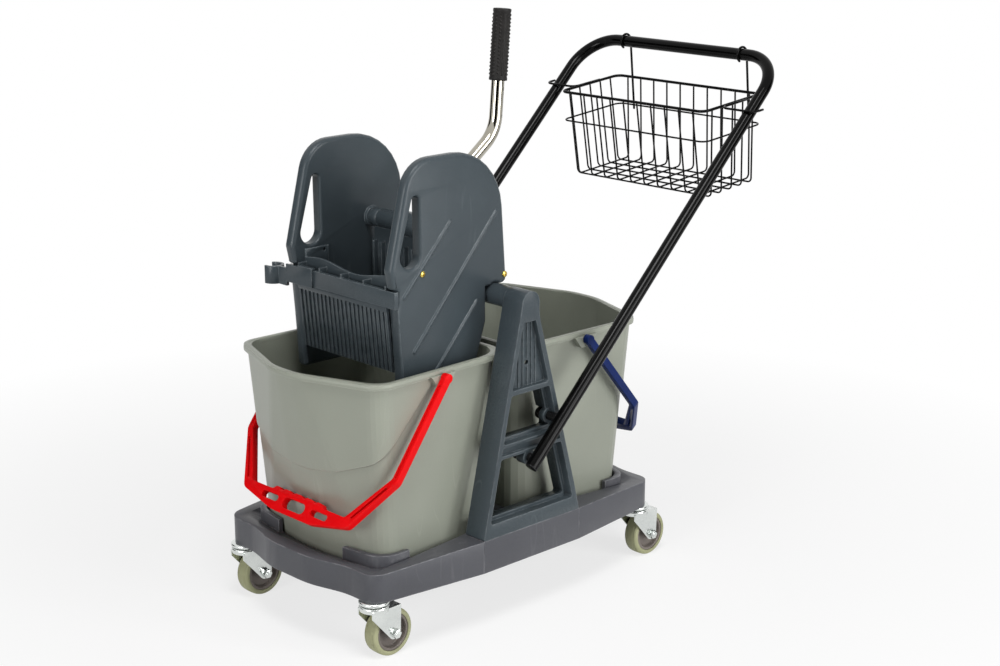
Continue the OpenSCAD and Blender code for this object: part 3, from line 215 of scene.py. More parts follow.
def softRubber(name, look):
    f = Finish(bpy.data.materials.new(name))
    bloom = f.noise(look["bloom"], 4.0)
    grain = f.noise(look["grain"], 2.0)
    scuff = f.corner(*look["scuffFade"]) * f.patches(*look["scuffPatch"])
    colour = f.mix(f.band(bloom, *look["shade"]), look["deep"], look["pale"])
    colour = f.mix(scuff * look["wearAndEdgeHighlight"], colour, look["wornAndHighlight"])
    rough = look["rough"] + (bloom - 0.5) * look["roughBy"]
    normal = f.bump(grain * look["grainy"] + bloom, look["depth"], look["relief"], f.soft(look["edge"]))
    return f.close({"Base Color": colour, "Roughness": rough, "Normal": normal,
                    "Specular IOR Level": look["gloss"]})


# patches and lines give a scale, a detail or stretch, and where they begin and end
# the worn colour serves for wear marks and for a painted highlight along the edges; the wear share sets
# how much of it the edges get
slate = {"deep": srgb(54, 62, 67), "pale": srgb(62, 71, 76), "wornAndHighlight": srgb(138, 146, 150),
         "drift": 5.0, "grain": 1500.0, "fleck": 0.08, "wearAndEdgeHighlight": 0.6, "rubbed": 0.12,
         "rough": 0.27, "gloss": 0.24, "edge": 0.0014, "depth": 0.3, "relief": 0.0003,
         "shade": (0.28, 0.72), "fleckFade": (0.35, 0.75), "roughBy": (0.16, 0.1, 0.06),
         "rubLines": (26, (1, 1, 0.16), 0.012), "rubPatch": (11, 2.0, 0.52, 0.68),
         "edgeFade": (0.03, 0.3), "edgePatch": (70, 3.0, 0.3, 0.62)}
# the base gets a larger share on its edges and a lighter worn colour: real wear and a brighter painted
# highlight line along its top edges
baseLook = dict(slate, deep=srgb(70, 71, 76), pale=srgb(78, 79, 84), wornAndHighlight=srgb(158, 158, 162),
                wearAndEdgeHighlight=0.8, rough=0.32)
bucketLook = dict(slate, deep=srgb(137, 141, 129), pale=srgb(145, 149, 137), wornAndHighlight=srgb(190, 191, 180),
                  fleck=0.1, wearAndEdgeHighlight=0.6, rough=0.34, gloss=0.4, grain=1900.0, depth=0.18)
redLook = dict(slate, deep=srgb(214, 2, 8), pale=srgb(228, 4, 12), wornAndHighlight=srgb(244, 48, 46), fleck=0.03,
               wearAndEdgeHighlight=0.3, rough=0.4, gloss=0.1, depth=0.12)
blueLook = dict(redLook, deep=srgb(10, 30, 82), pale=srgb(15, 38, 98), wornAndHighlight=srgb(60, 88, 140))
nylonLook = dict(slate, deep=srgb(52, 57, 61), pale=srgb(62, 68, 72), wornAndHighlight=srgb(98, 104, 108))
knobLook = dict(slate, deep=srgb(16, 16, 17), pale=srgb(24, 24, 25), wornAndHighlight=srgb(60, 60, 60))
hubLook = dict(slate, deep=srgb(106, 99, 94), pale=srgb(120, 112, 106), wornAndHighlight=srgb(146, 139, 132))
coatLook = {"deep": srgb(5, 5, 5), "pale": srgb(10, 10, 10), "dust": srgb(70, 70, 68), "peel": 700.0,
            "dusty": 0.1, "wearAndEdgeHighlight": 0.35, "rough": 0.08, "gloss": 0.09, "depth": 0.004, "relief": 0.0002,
            "shade": (9, 2.0, 0.3, 0.7), "roughBy": (0.03, 0.01), "dustPatch": (420, 3.0, 0.6, 0.78),
            "wornLines": (30, (1, 1, 0.3), 0.008), "wornPatch": (14, 2.0, 0.55, 0.7)}
zincLook = {"deep": srgb(206, 210, 208), "pale": srgb(222, 226, 223), "bloom": srgb(234, 237, 231),
            "crystal": 320.0, "spangle": 0.16, "drift": 24, "sway": 0.5, "rough": 0.15, "depth": 0.15,
            "relief": 0.0001, "shade": (0.3, 0.7), "roughBy": (0.1, 0.3, 0.06),
            "drawLines": (60, (1, 1, 0.2), 0.02)}
brassLook = dict(zincLook, deep=srgb(196, 168, 72), pale=srgb(222, 198, 100), bloom=srgb(236, 218, 150))
chromeLook = dict(zincLook, deep=srgb(158, 154, 142), pale=srgb(182, 178, 166), bloom=srgb(190, 186, 174),
                  spangle=0.04, rough=0.03, depth=0.008)
gripLook = {"deep": srgb(17, 16, 15), "pale": srgb(25, 23, 22), "wornAndHighlight": srgb(62, 59, 56),
            "bloom": 60.0, "grain": 900, "grainy": 0.5, "wearAndEdgeHighlight": 0.5, "rough": 0.55, "roughBy": 0.14,
            "gloss": 0.22, "depth": 0.25, "relief": 0.0003, "edge": 0.0008, "shade": (0.3, 0.7),
            "scuffFade": (0.004, 0.02, 0.25), "scuffPatch": (90, 3.0, 0.35, 0.65)}
tyreLook = dict(gripLook, deep=srgb(146, 147, 112), pale=srgb(160, 161, 126), wornAndHighlight=srgb(122, 122, 98),
                bloom=38.0, wearAndEdgeHighlight=0.4, rough=0.6, gloss=0.45)

slateFinish = mouldedPlastic("wringerPlastic", slate)
finishes = {
    "slate_plastic": slateFinish,
    "bucket_plastic": mouldedPlastic("bucketPlastic", bucketLook),
    "red_plastic": mouldedPlastic("redPlastic", redLook),
    "blue_plastic": mouldedPlastic("bluePlastic", blueLook),
    "black_paint": paintedSteel("blackCoat", coatLook),
    "black_plastic": mouldedPlastic("knobPlastic", knobLook),
    "zinc": platedMetal("zincPlate", zincLook),
    "yellow_zinc": platedMetal("yellowZinc", brassLook),
    "nylon": mouldedPlastic("bushNylon", nylonLook),
    "chrome": platedMetal("leverChrome", chromeLook),
    "grip_rubber": softRubber("gripRubber", gripLook),
    "wheel_plastic": mouldedPlastic("hubPlastic", hubLook),
    "tyre": softRubber("tyreRubber", tyreLook),
}
baseFinish = mouldedPlastic("basePlastic", baseLook)
for name, node in nodes.items():
    node.data.materials.clear()
    node.data.materials.append(finishes[slotOf[name]])
print("finishes made:", len(finishes) + 1)


def putIn(name, mesh, finish):  # a new object in the scene
    piece = bpy.data.objects.new(name, mesh)
    bpy.context.scene.collection.objects.link(piece)
    mesh.materials.clear()
    mesh.materials.append(finish)
    return piece


def standFor(piece, node):  # the piece takes the place of its CAD node
    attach(piece, nodes[node]["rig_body"])
    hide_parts(node)
    return piece


def goWith(piece, node):  # the piece is added to the body of a CAD node
    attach(piece, nodes[node]["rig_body"])
    return piece


meshCare = {"weld": 4e-6, "flatTurn": 0.5, "edgeTurn": 34, "edgeSteps": 2, "facing": 0.999, "level": 2e-5}
softEdges = {  # edge rounding of each moulding, in metres
    "front_tray": 0.0016, "centre_section": 0.0016, "rear_tray": 0.0016,
    "right_upright": 0.0011, "left_upright": 0.0011,
    "front_bar": 0.0008, "rear_saddle": 0.001, "mop_clip": 0.0012,
    "sieve_floor": 0.0006, "press_plate": 0.0008, "lever_socket": 0.0008, "press_hub": 0.001,
    "front_bail": 0.0012, "rear_bail": 0.0012,
    "handle_end_caps": 0.001, "handle_nuts": 0.0012, "shaft_bushes": 0.0005,
}
baseNodes = ("front_tray", "centre_section", "rear_tray")


def tidied(node):  # mesh of a CAD node with its flat faces whole
    bm = bmesh.new()
    bm.from_mesh(nodes[node].data)
    bmesh.ops.remove_doubles(bm, verts=bm.verts, dist=meshCare["weld"])
    limit = math.radians(meshCare["flatTurn"])
    bmesh.ops.dissolve_limit(bm, angle_limit=limit, verts=bm.verts, edges=bm.edges)
    return bm


def meshOf(bm, name):
    mesh = bpy.data.meshes.new(name)
    for face in bm.faces:
        face.smooth = True
    bm.to_mesh(mesh)
    bm.free()
    return mesh


def softened(node, width, finish):  # the CAD shape with rounded edges
    piece = putIn("soft_" + node, meshOf(tidied(node), node + "_soft"), finish)
    bevel = piece.modifiers.new("edges", "BEVEL")
    bevel.width = width
    bevel.segments = meshCare["edgeSteps"]
    bevel.limit_method = "ANGLE"
    bevel.angle_limit = math.radians(meshCare["edgeTurn"])
    bevel.use_clamp_overlap = True
    bevel.harden_normals = True
    return standFor(piece, node)


for node, width in softEdges.items():
    softened(node, width, baseFinish if node in baseNodes else finishes[slotOf[node]])
print("mouldings softened:", len(softEdges))


def loopsOn(bm, normal, level):  # closed edge loops round the faces that lie on a plane
    flat = {face for face in bm.faces if face.normal.dot(normal) > meshCare["facing"]
            and abs(face.calc_center_median().dot(normal) - level) < meshCare["level"]}
    after = {}
    for face in flat:
        for corner in face.loops:
            if not any(other in flat for other in corner.edge.link_faces if other is not face):
                after[corner.vert] = corner.link_loop_next.vert
    loops = []
    while after:
        first, vert = after.popitem()
        loop = [first.co.copy()]
        while vert is not first:
            loop.append(vert.co.copy())
            vert = after.pop(vert)
        loops.append(loop)
    lengths = [sum((a - b).length for a, b in zip(loop, loop[1:] + loop[:1])) for loop in loops]
    return [loops[i] for i in sorted(range(len(loops)), key=lambda i: -lengths[i])]


def middleOf(spots):  # middle of the box round some points
    return Vector([(min(p[k] for p in spots) + max(p[k] for p in spots)) / 2 for k in range(3)])


def skin(bm, rings):  # faces from ring to ring, where a ring of one point is a tip
    for first, second in zip(rings, rings[1:]):
        for i in range(max(len(first), len(second))):
            j = i + 1
            corners = (first[i % len(first)], first[j % len(first)],
                       second[j % len(second)], second[i % len(second)])
            bm.faces.new(list(dict.fromkeys(corners)))


def sideways(loop, normal, step):  # loop moved into its faces, less where it turns tightly
    straight, room, sharpest = 0.01, 0.8, 0.3
    moved = []
    for i, here in enumerate(loop):
        before, after = here - loop[i - 1], loop[(i + 1) % len(loop)] - here
        a, b = before.normalized(), after.normalized()
        turn = a.angle(b, 0.0)
        limit = step
        if turn > straight and normal.dot(a.cross(b)) > 0:
            limit = min(step, room * min(before.length, after.length) / turn)
        moved.append(here + (normal.cross(a) + normal.cross(b)) / max(sharpest, 1 + a.dot(b)) * limit)
    return moved


def slab(bm, loops, normal, depth, radii, steps=4):  # sheet with round edges, from the loops of one face
    caps = ([], [])
    for loop, radius in zip(loops, radii):
        rings = []
        for side, order in enumerate((range(steps, -1, -1), range(steps + 1))):
            for turn in (k / steps * math.pi / 2 for k in order):
                level = radius * (1 - math.sin(turn))
                level = depth - level if side else level
                inset = sideways(loop, normal, radius * (1 - math.cos(turn)))
                rings.append([bm.verts.new(point - normal * level) for point in inset])
        skin(bm, rings)
        caps[0].append(rings[0])
        caps[1].append(rings[-1])
    for cap in caps:
        verts = [vert for ring in cap for vert in ring]
        for tri in tessellate_polygon([[vert.co for vert in ring] for ring in cap]):
            bm.faces.new([verts[i] for i in tri])


def ridge(bm, loop, normal, wide, tall):  # round backed rib along a narrow rectangle
    endTurns, arcSteps, sunk = (12, 35, 60, 90), 8, 0.0002
    if (loop[0] - loop[1]).length < (loop[1] - loop[2]).length:
        loop = loop[1:] + loop[:1]
    ends = ((loop[0] + loop[3]) / 2, (loop[1] + loop[2]) / 2)
    along = (ends[1] - ends[0]).normalized()
    across = normal.cross(along)
    caps = [(wide / 2 * (1 - math.cos(a)), math.sin(a)) for a in map(math.radians, endTurns)]
    spine = [(ends[0] + along * shift, size) for shift, size in caps]
    spine += [(ends[1] - along * shift, size) for shift, size in reversed(caps)]
    rings = []
    for place, size in spine:
        arc = [math.pi * j / arcSteps for j in range(arcSteps + 1)]
        rings.append([bm.verts.new(place + across * (wide / 2 * size * math.cos(a))
                                   + normal * (tall * size * math.sin(a) - sunk)) for a in arc])
    skin(bm, rings)
    bm.faces.new(rings[0])
    bm.faces.new(rings[-1])


def lathe(bm, profile, place, axis, steps=48, closed=False):  # round piece from (radius, height) points
    spin = Vector(axis).to_track_quat("Z", "Y")
    rings = []
    for radius, height in profile:
        turns = [2 * math.pi * i / steps for i in range(steps)] if radius else [0.0]
        ring = [Vector((radius * math.cos(a), radius * math.sin(a), height)) for a in turns]
        rings.append([bm.verts.new(Vector(place) + spin @ point) for point in ring])
    skin(bm, rings + rings[:1] if closed else rings)


def rod(bm, path, radius, sides=12, blunt=0.6):  # round wire along points, its ends blunt or square
    steps = list(path)
    if blunt:
        steps.insert(0, path[0] + (path[0] - path[1]).normalized() * radius * blunt)
        steps.append(path[-1] + (path[-1] - path[-2]).normalized() * radius * blunt)
    narrow = (0, len(steps) - 1) if blunt else ()
    rings = []
    turns = [2 * math.pi * k / sides for k in range(sides)]
    across = (steps[1] - steps[0]).orthogonal().normalized()
    for i, here in enumerate(steps):
        along = (steps[min(i + 1, len(steps) - 1)] - steps[max(i - 1, 0)]).normalized()
        across = (across - along * across.dot(along)).normalized()
        size = radius * (blunt if i in narrow else 1.0)
        ring = [across * math.cos(a) + along.cross(across) * math.sin(a) for a in turns]
        rings.append([bm.verts.new(here + out * size) for out in ring])
    skin(bm, rings)
    bm.faces.new(rings[0])
    bm.faces.new(rings[-1])


def built(name, bm, finish, sharp=40):  # finished mesh in the scene, smooth but for its sharp edges
    bmesh.ops.recalc_face_normals(bm, faces=bm.faces)
    for edge in bm.edges:
        edge.smooth = len(edge.link_faces) == 2 and edge.calc_face_angle(0.0) < math.radians(sharp)
    return putIn(name, meshOf(bm, name), finish)


shaft = {"x": -0.055, "z": 0.598}  # where the press turns
plateLook = {"depth": 0.02, "face": 0.126, "round": (0.0068, 0.0042), "roundSteps": 6,
             "rib": (0.0072, 0.0024), "ribCorners": 4, "holePoints": 40, "holeAcross": 0.02,
             "boss": ((0.0112, -0.001), (0.0112, 0.0055), (0.0117, 0.006), (0.0146, 0.006),
                      (0.0156, 0.0055), (0.016, 0.0046), (0.016, -0.001))}
for node, side in (("right_side_plate", -1), ("left_side_plate", 1)):
    out = Vector((0, side, 0))
    loops = loopsOn(tidied(node), out, plateLook["face"])
    half = plateLook["holePoints"] // 2
    holes = [loop for loop in loops[1:] if len(loop) > plateLook["holePoints"]
             and (loop[0] - loop[half]).length > plateLook["holeAcross"]]
    bm = bmesh.new()
    slab(bm, loops[:1] + holes, out, plateLook["depth"], plateLook["round"], plateLook["roundSteps"])
    for loop in loops:
        if len(loop) == plateLook["ribCorners"]:
            ridge(bm, loop, out, *plateLook["rib"])
    foot = (shaft["x"], side * (plateLook["face"] - plateLook["depth"]), shaft["z"])
    lathe(bm, plateLook["boss"], foot, (0, -side, 0), closed=True)
    standFor(built(node.replace("side_plate", "plateShell"), bm, slateFinish), node)
print("side plates built")

gridLook = {"slope": (-0.9999, -0.9), "facing": 0.9999,  # then depth, rounding and its steps
            "slat": (0.0038, [0.0011], 3), "sheet": (0.002, [0.0004], 1), "bar": (0.009, [0.001], 2),
            "barTall": 0.008}
grid = tidied("front_grid")
steepest, flattest = gridLook["slope"]
sloping = [face for face in grid.faces if steepest < face.normal.x < flattest]
toFront = max(sloping, key=lambda face: face.calc_area()).normal.copy()


def outermost(normal):  # the faces of the grid that lie furthest out along a normal
    levels = [face.calc_center_median().dot(normal) for face in grid.faces
              if face.normal.dot(normal) > gridLook["facing"]]
    return loopsOn(grid, normal, max(levels))


bm = bmesh.new()
slats = outermost(toFront)
for loop in slats:
    slab(bm, [loop], toFront, *gridLook["slat"])
slab(bm, outermost(-toFront)[:1], -toFront, *gridLook["sheet"])
low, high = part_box("front_grid")
under = high[2] - gridLook["barTall"]
barFace = [Vector((low[0], y, z)) for y, z in ((high[1], under), (low[1], under),
                                              (low[1], high[2]), (high[1], high[2]))]
slab(bm, [barFace], Vector((-1, 0, 0)), *gridLook["bar"])
grid.free()
standFor(built("slatGrid", bm, slateFinish, 50), "front_grid")
print("grid built:", len(slats), "slats")

rimLook = {"level": 0.4213, "profile": (  # out from the lip, up from the rim
    (-0.0092, -0.006), (-0.0092, -0.0012), (-0.0086, -0.0002), (-0.0072, 0.0005), (-0.0052, 0.0008),
    (-0.003, 0.0006), (-0.0012, -0.0002), (-0.0001, -0.0016), (0.0004, -0.0034), (0.0004, -0.0058),
    (-0.0002, -0.0078), (-0.0014, -0.009), (-0.003, -0.0093), (-0.0046, -0.0086), (-0.006, -0.0074))}
up = Vector((0, 0, 1))
for end in ("front", "rear"):
    node = end + "_bucket"
    rim = loopsOn(tidied(node), up, rimLook["level"])[0]
    bm = bmesh.new()
    rings = []
    for out, rise in rimLook["profile"]:
        rings.append([bm.verts.new(point + up * rise) for point in sideways(rim, up, -out)])
    skin(bm, rings + rings[:1])
    goWith(built(end + "_rimBead", bm, finishes["bucket_plastic"], 60), node)
print("rims built")

casterLook = {
    "stems": {"front_right": (-0.286, -0.158, 0), "front_left": (-0.286, 0.158, 0),
              "rear_right": (0.286, -0.158, 0), "rear_left": (0.286, 0.158, 0)},
    "mount": ((0.0, 0.1205), (0.005, 0.1205), (0.005, 0.095), (0.019, 0.095), (0.0214, 0.0946),
              (0.023, 0.0934), (0.0235, 0.0915), (0.023, 0.0897), (0.0214, 0.0885), (0.019, 0.0881),
              (0.005, 0.0881), (0.005, 0.0783), (0.0076, 0.0781), (0.008, 0.0771), (0.0076, 0.0763),
              (0.006, 0.0761), (0.0, 0.0761)),
    "crown": ((0.0188, 0.0812), (0.0217, 0.0814), (0.0224, 0.0824), (0.0228, 0.0838), (0.0226, 0.0852),
              (0.0217, 0.0864), (0.02, 0.0869), (0.0188, 0.0869)),
    "tyre": ((0.0296, -0.0124), (0.031, -0.0125), (0.0318, -0.0128), (0.0332, -0.0128), (0.0341, -0.0124),
             (0.0356, -0.0117), (0.0368, -0.0104), (0.0372, -0.009), (0.0368, -0.0086), (0.0368, -0.008),
             (0.0373, -0.0076), (0.0375, -0.004), (0.0376, 0.0)),
    "tyreSteps": 72,
    "soft": {"fork": 0.0009, "wheel": 0.0007, "axle": 0.0006}}
bm = bmesh.new()
for stem in casterLook["stems"].values():
    lathe(bm, casterLook["mount"], stem, up)
standFor(built("casterBearings", bm, finishes["zinc"], 50), "caster_mounts")
halfTyre = casterLook["tyre"]
tread = halfTyre + tuple((radius, -across) for radius, across in reversed(halfTyre[:-1]))
for caster, stem in casterLook["stems"].items():
    bm = bmesh.new()
    lathe(bm, casterLook["crown"], stem, up, closed=True)
    goWith(built(caster + "_crownRing", bm, finishes["zinc"], 50), caster + "_fork")
    middle = middleOf([vert.co for vert in nodes[caster + "_tyre"].data.vertices])
    bm = bmesh.new()
    lathe(bm, tread, middle, (0, 1, 0), casterLook["tyreSteps"], closed=True)
    standFor(built(caster + "_treadTyre", bm, finishes["tyre"], 50), caster + "_tyre")
    for part, width in casterLook["soft"].items():
        node = caster + "_" + part
        softened(node, width, finishes[slotOf[node]])
print("casters built")

gripShape = {
    "lean": 85, "columns": 12, "turn": -110, "smooth": (0, 6),  # columns with a stripe and no studs
    "rows": 17, "pitch": 0.0058, "first": 0.0095, "last": 0.105, "studSeat": 0.0138, "studSteps": 8,
    "stud": ((0.0, 0.0013), (0.0009, 0.0011), (0.0016, 0.0006), (0.002, -0.0004), (0.0, -0.0006)),
    "sleeve": ((0.0, 0.1095), (0.0107, 0.1095), (0.0107, 0.0006), (0.0112, 0.0), (0.0139, 0.0),
               (0.0145, 0.0006), (0.0145, 0.0042), (0.0139, 0.0054), (0.0138, 0.1062), (0.0144, 0.1074),
               (0.0145, 0.1104), (0.0138, 0.1118), (0.0112, 0.1122), (0.0, 0.1122)),
    "stripe": (0.0044, 0.0015), "stripeSeat": 0.0137, "stripeSpan": (0.008, 0.104)}
spots = [Vector(vert.co) for vert in nodes["lever_grip"].data.vertices]
lean = math.radians(gripShape["lean"])
axis = Vector((math.cos(lean), 0, math.sin(lean)))
centre = middleOf(spots)
foot = centre + axis * (min(spot.dot(axis) for spot in spots) - centre.dot(axis))
bm = bmesh.new()
lathe(bm, gripShape["sleeve"], foot, axis)
for column in range(gripShape["columns"]):
    angle = math.radians(gripShape["turn"]) + 2 * math.pi * column / gripShape["columns"]
    out = Vector((math.cos(angle), math.sin(angle), 0))
    out = (out - axis * out.dot(axis)).normalized()
    if column in gripShape["smooth"]:
        wide, tall = gripShape["stripe"]
        side = axis.cross(out) * wide / 2
        low, high = (foot + out * gripShape["stripeSeat"] + axis * end for end in gripShape["stripeSpan"])
        ridge(bm, [low - side, high - side, high + side, low + side], out, wide, tall)
        continue
    for row in range(gripShape["rows"] - column % 2):
        height = gripShape["first"] + (row + column % 2 / 2) * gripShape["pitch"]
        if height < gripShape["last"]:
            seat = foot + axis * height + out * gripShape["studSeat"]
            lathe(bm, gripShape["stud"], seat, out, gripShape["studSteps"])
standFor(built("studdedGrip", bm, finishes["grip_rubber"], 50), "lever_grip")
print("grip built")

screwLook = {"places": ((0.0125, 0.532), (-0.155, 0.56)), "radius": 0.00475, "tall": 0.0026,
             "dome": 0.85, "face": 0.126, "cross": (0.0006, 0.0026), "sink": 0.0011, "steps": 64,
             "rings": 16, "shank": 0.0024, "reach": 0.018}
around = [2 * math.pi * i / screwLook["steps"] for i in range(screwLook["steps"])]


def headRing(share):  # one ring of the domed head with its cross recess, out from the middle
    points = []
    for u, v in ((math.cos(a) * screwLook["radius"] * share, math.sin(a) * screwLook["radius"] * share)
                 for a in (around if share else around[:1])):
        near, far = sorted((abs(u), abs(v)))
        recess = near < screwLook["cross"][0] and far < screwLook["cross"][1]
        rise = screwLook["tall"] * math.sqrt(1 - screwLook["dome"] * share ** 2)
        points.append((u, v, rise - screwLook["sink"] if recess else rise))
    return points


screw = [headRing(k / screwLook["rings"]) for k in range(screwLook["rings"] + 1)]
screw.append([(u, v, 0.0) for u, v, rise in screw[-1]])
shank = [(screwLook["shank"] * math.cos(a), screwLook["shank"] * math.sin(a)) for a in around]
for level in (0.0, -screwLook["reach"]):
    screw.append([(u, v, level) for u, v in shank])
screw.append([(0.0, 0.0, -screwLook["reach"])])
bm = bmesh.new()
for side in (-1, 1):
    for x, z in screwLook["places"]:
        skin(bm, [[bm.verts.new((x + u, side * (screwLook["face"] + rise), z + v)) for u, v, rise in ring]
                  for ring in screw])
standFor(built("crossScrews", bm, finishes["yellow_zinc"], 50), "wringer_screws")

coilLook = {"start": 0.0828, "radius": 0.0106, "wire": 0.0015, "pitch": 0.0036, "coils": 4,
            "steps": 28, "sides": 10, "cover": ((0.0124, 0.0818), (0.0124, 0.0996), (0.0132, 0.0996),
                                                 (0.0137, 0.0991), (0.0137, 0.0823), (0.0132, 0.0818))}
bm = bmesh.new()
covers = bmesh.new()
for side in (-1, 1):
    coil = []
    for i in range(coilLook["coils"] * coilLook["steps"] + 1):
        angle = 2 * math.pi * i / coilLook["steps"]
        out = Vector((math.cos(angle), 0, math.sin(angle))) * coilLook["radius"]
        along = side * (coilLook["start"] + coilLook["pitch"] * i / coilLook["steps"])
        coil.append(Vector((shaft["x"], along, shaft["z"])) + out)
    rod(bm, coil, coilLook["wire"], coilLook["sides"])
    lathe(covers, coilLook["cover"], (shaft["x"], 0, shaft["z"]), (0, side, 0), closed=True)
standFor(built("springCoils", bm, finishes["zinc"], 60), "return_springs")
goWith(built("springCovers", covers, slateFinish, 60), "return_springs")
print("screws and springs built")

hookLook = {"wire": 0.002, "tilt": 5.8, "span": 0.132, "turn": 0.0125, "front": 236, "turnSteps": 30,
            "drops": (1.0, 0.75, 0.5, 0.25), "bend": 0.013, "bendSteps": 10, "clear": 0.0007,
            "tail": 1.7, "ringDepth": 0.0005}
tilt = math.radians(hookLook["tilt"])
toBack = Vector((math.cos(tilt), 0, math.sin(tilt)))
toTop = Vector((-math.sin(tilt), 0, math.cos(tilt)))
spots = [Vector(v.co) for v in nodes["push_handle"].data.vertices]
nearest = min(abs(p.y) for p in spots) + hookLook["ringDepth"]
bar = middleOf([p for p in spots if abs(p.y) < nearest])  # middle of the handle's bar
hang = min((Vector(v.co) - bar).dot(toTop) for v in nodes["basket_hooks"].data.vertices)
bm = bmesh.new()
for side in (-1, 1):
    top = bar + Vector((0, side * hookLook["span"], 0))
    wire = [top + toBack * hookLook["turn"] + toTop * hang * share for share in hookLook["drops"]]
    for k in range(hookLook["turnSteps"] + 1):
        angle = math.radians(hookLook["front"]) * k / hookLook["turnSteps"]
        wire.append(top + (toBack * math.cos(angle) + toTop * math.sin(angle)) * hookLook["turn"])
    rod(bm, wire, hookLook["wire"])
standFor(built("hangHooks", bm, finishes["black_paint"], 60), "basket_hooks")
spots = [Vector(v.co) - bar for v in nodes["basket_side_hooks"].data.vertices if v.co.y > 0]
sizes = [[spot.dot(way) for spot in spots] for way in (toBack, Vector((0, 1, 0)), toTop)]
(front, rear), (inner, outer), (low, high) = [(min(size), max(size)) for size in sizes]
bend = hookLook["bend"]
tip, start = front - hookLook["clear"] + hookLook["wire"], inner + hookLook["wire"]
quarter = [math.pi / 2 * k / hookLook["bendSteps"] for k in range(hookLook["bendSteps"] + 1)]
flat = [(rear, start), ((rear + tip + bend) / 2, start)]  # back along the leg and out across it
flat += [(tip + bend * (1 - math.sin(a)), start + bend * (1 - math.cos(a))) for a in quarter]
flat += [(tip + bend * (1 - math.cos(a)), outer - bend * (1 - math.sin(a))) for a in quarter]
flat.append((tip + bend * hookLook["tail"], outer))
level = bar + toTop * (low + high) / 2
bm = bmesh.new()
for side in (-1, 1):
    rod(bm, [level + toBack * x + Vector((0, side * y, 0)) for x, y in flat], hookLook["wire"])
standFor(built("sideHooks", bm, finishes["black_paint"], 60), "basket_side_hooks")
print("hooks built")

tubeLook = {"angle": 44.4, "half": 0.218, "leg": 0.814, "round": 0.01, "handleBend": 0.07,
            "pitch": 0.02, "turns": 18, "sides": 48,
            "lever": ((-0.03982, 0, 0.60944), (0.11272, 0, 0.72438), (0.12945, 0, 0.91565)),
            "leverRound": 0.0105, "leverBend": 0.06}


def bentPath(corners, bend):  # points along straight runs with round bends between them
    def run(first, second):
        count = max(1, round((second - first).length / tubeLook["pitch"]))
        return [first + (second - first) * k / count for k in range(count)]

    path, last = [], corners[0]
    for before, corner, after in zip(corners, corners[1:], corners[2:]):
        come, leave = (corner - before).normalized(), (after - corner).normalized()
        sweep = come.angle(leave)
        start = corner - come * bend * math.tan(sweep / 2)
        inward = (leave - come * come.dot(leave)).normalized()
        path += run(last, start)
        angles = [sweep * k / tubeLook["turns"] for k in range(tubeLook["turns"] + 1)]
        arc = [start + (inward * (1 - math.cos(a)) + come * math.sin(a)) * bend for a in angles]
        path += arc[:-1]
        last = arc[-1]
    return path + run(last, corners[-1]) + [corners[-1]]


rise = math.radians(tubeLook["angle"])
leg = Vector((math.cos(rise), 0, math.sin(rise))) * tubeLook["leg"]
tops = [bar + Vector((0, side * tubeLook["half"], 0)) for side in (-1, 1)]
bm = bmesh.new()
rod(bm, bentPath([tops[0] - leg, *tops, tops[1] - leg], tubeLook["handleBend"]), tubeLook["round"],
    tubeLook["sides"], 0)
standFor(built("pushTube", bm, finishes["black_paint"], 60), "push_handle")
bm = bmesh.new()
rod(bm, bentPath([Vector(p) for p in tubeLook["lever"]], tubeLook["leverBend"]), tubeLook["leverRound"],
    tubeLook["sides"], 0)
standFor(built("leverTube", bm, finishes["chrome"], 60), "lever_tube")
print("tubes built")

view = {"place": (-1.9265, -2.1297, 1.2172), "turn": (74.39, 0.0, -43.92), "lens": 67.47, "sensor": 36.0}
camera = bpy.data.objects.new("camera", bpy.data.cameras.new("camera"))
camera.location = view["place"]
camera.rotation_euler = [math.radians(a) for a in view["turn"]]
camera.data.lens = view["lens"]
camera.data.sensor_width = view["sensor"]
bpy.context.scene.collection.objects.link(camera)
bpy.context.scene.camera = camera

whiteRays = (0, 3, 6)  # camera, glossy and transmission rays see white
plainWhite = (1.0, 1.0, 1.0, 1.0)
floorLook = {"radius": 16.0, "steps": 96, "colour": (0.93, 0.93, 0.93, 1.0), "near": 0.74,
             "fade": (0.55, 1.5)}
floorMesh = bpy.data.meshes.new("floor")
bm = bmesh.new()
bmesh.ops.create_circle(bm, cap_ends=True, segments=floorLook["steps"], radius=floorLook["radius"])
bm.to_mesh(floorMesh)
bm.free()
f = Finish(bpy.data.materials.new("paleFloor"))
reach = f.add("VectorMath", {"operation": "LENGTH"}, {0: f.spot()}, output=1)
white = f.add("Emission", {}, {"Color": plainWhite, "Strength": 1.0})
paint = f.add("BsdfDiffuse", {}, {"Color": floorLook["colour"]})
far = floorLook["near"] + f.band(reach, *floorLook["fade"]) * (1 - floorLook["near"])
far = far * f.band(sum(f.add("LightPath", output=ray) for ray in whiteRays), 0.0, 1.0)
f.add("OutputMaterial", {}, {"Surface": f.add("MixShader", {}, {0: far, 1: paint, 2: white})})
floor = putIn("floor", floorMesh, f.owner)

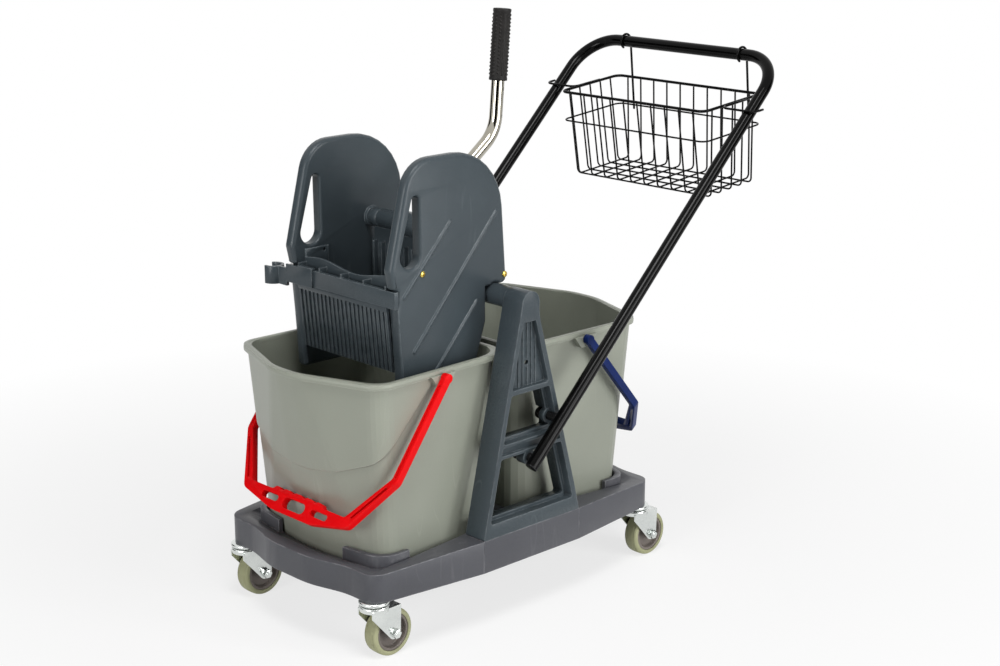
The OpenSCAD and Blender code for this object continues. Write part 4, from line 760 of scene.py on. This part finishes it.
skyLook = {"fill": 0.09}
f = Finish(bpy.data.worlds.new("studio"))
shown = sum(f.add("LightPath", output=ray) for ray in whiteRays)
fill = f.add("Background", {}, {"Color": plainWhite, "Strength": skyLook["fill"]})
white = f.add("Background", {}, {"Color": plainWhite, "Strength": 1.0})
sky = f.add("MixShader", {}, {0: f.band(shown, 0.0, 1.0), 1: fill, 2: white})
f.add("OutputWorld", {}, {"Surface": sky})
bpy.context.scene.world = f.owner

lamps = {  # place, aim, width, height, brightness
    "frontBox": ((0.2, -3.3, 1.15), (0.0, 0.0, 0.4), 0.7, 1.6, 7.2),
    "leftBox": ((-3.0, -0.5, 1.1), (0.0, 0.0, 0.4), 1.1, 1.2, 8.6),
    "stripBox": ((1.1, -3.0, 0.9), (0.1, 0.0, 0.6), 0.8, 2.4, 8.5),
    "topBox": ((-0.9, -1.3, 3.6), (0.0, 0.0, 0.5), 1.2, 1.2, 15.0),
}
for name, (place, aim, width, height, bright) in lamps.items():
    lamp = bpy.data.lights.new(name, "AREA")
    lamp.shape = "RECTANGLE"
    lamp.size, lamp.size_y = width, height
    lamp.energy = bright * math.pi * width * height
    stand = bpy.data.objects.new(name, lamp)
    stand.location = place
    stand.rotation_euler = (Vector(aim) - Vector(place)).to_track_quat("-Z", "Y").to_euler()
    stand.visible_camera = False
    bpy.context.scene.collection.objects.link(stand)

cardShade = (0.01, 0.01, 0.01, 1.0)
flags = {  # dark cards that only reflections see: place, width, height
    "backCard": ((-3.7, -4.1, 1.3), 4.2, 3.4),
    "leftCard": ((-2.8, 4.6, 1.3), 4.0, 3.4),
    "rightCard": ((4.1, -3.7, 1.3), 4.2, 3.4),
}
f = Finish(bpy.data.materials.new("darkCard"))
f.add("OutputMaterial", {}, {"Surface": f.add("BsdfDiffuse", {}, {"Color": cardShade})})
for name, (place, width, height) in flags.items():
    mesh = bpy.data.meshes.new(name)
    bm = bmesh.new()
    bmesh.ops.create_grid(bm, x_segments=2, y_segments=4, size=0.5)
    bm.to_mesh(mesh)
    bm.free()
    card = putIn(name, mesh, f.owner)
    card.scale = (width, height, 1.0)
    card.location = place
    inward = Vector((0.0, 0.0, place[2])) - Vector(place)
    card.rotation_euler = inward.to_track_quat("Z", "Y").to_euler()
    card.visible_camera = card.visible_diffuse = card.visible_shadow = False
bpy.context.scene.view_settings.view_transform = "Standard"
print("studio set up")
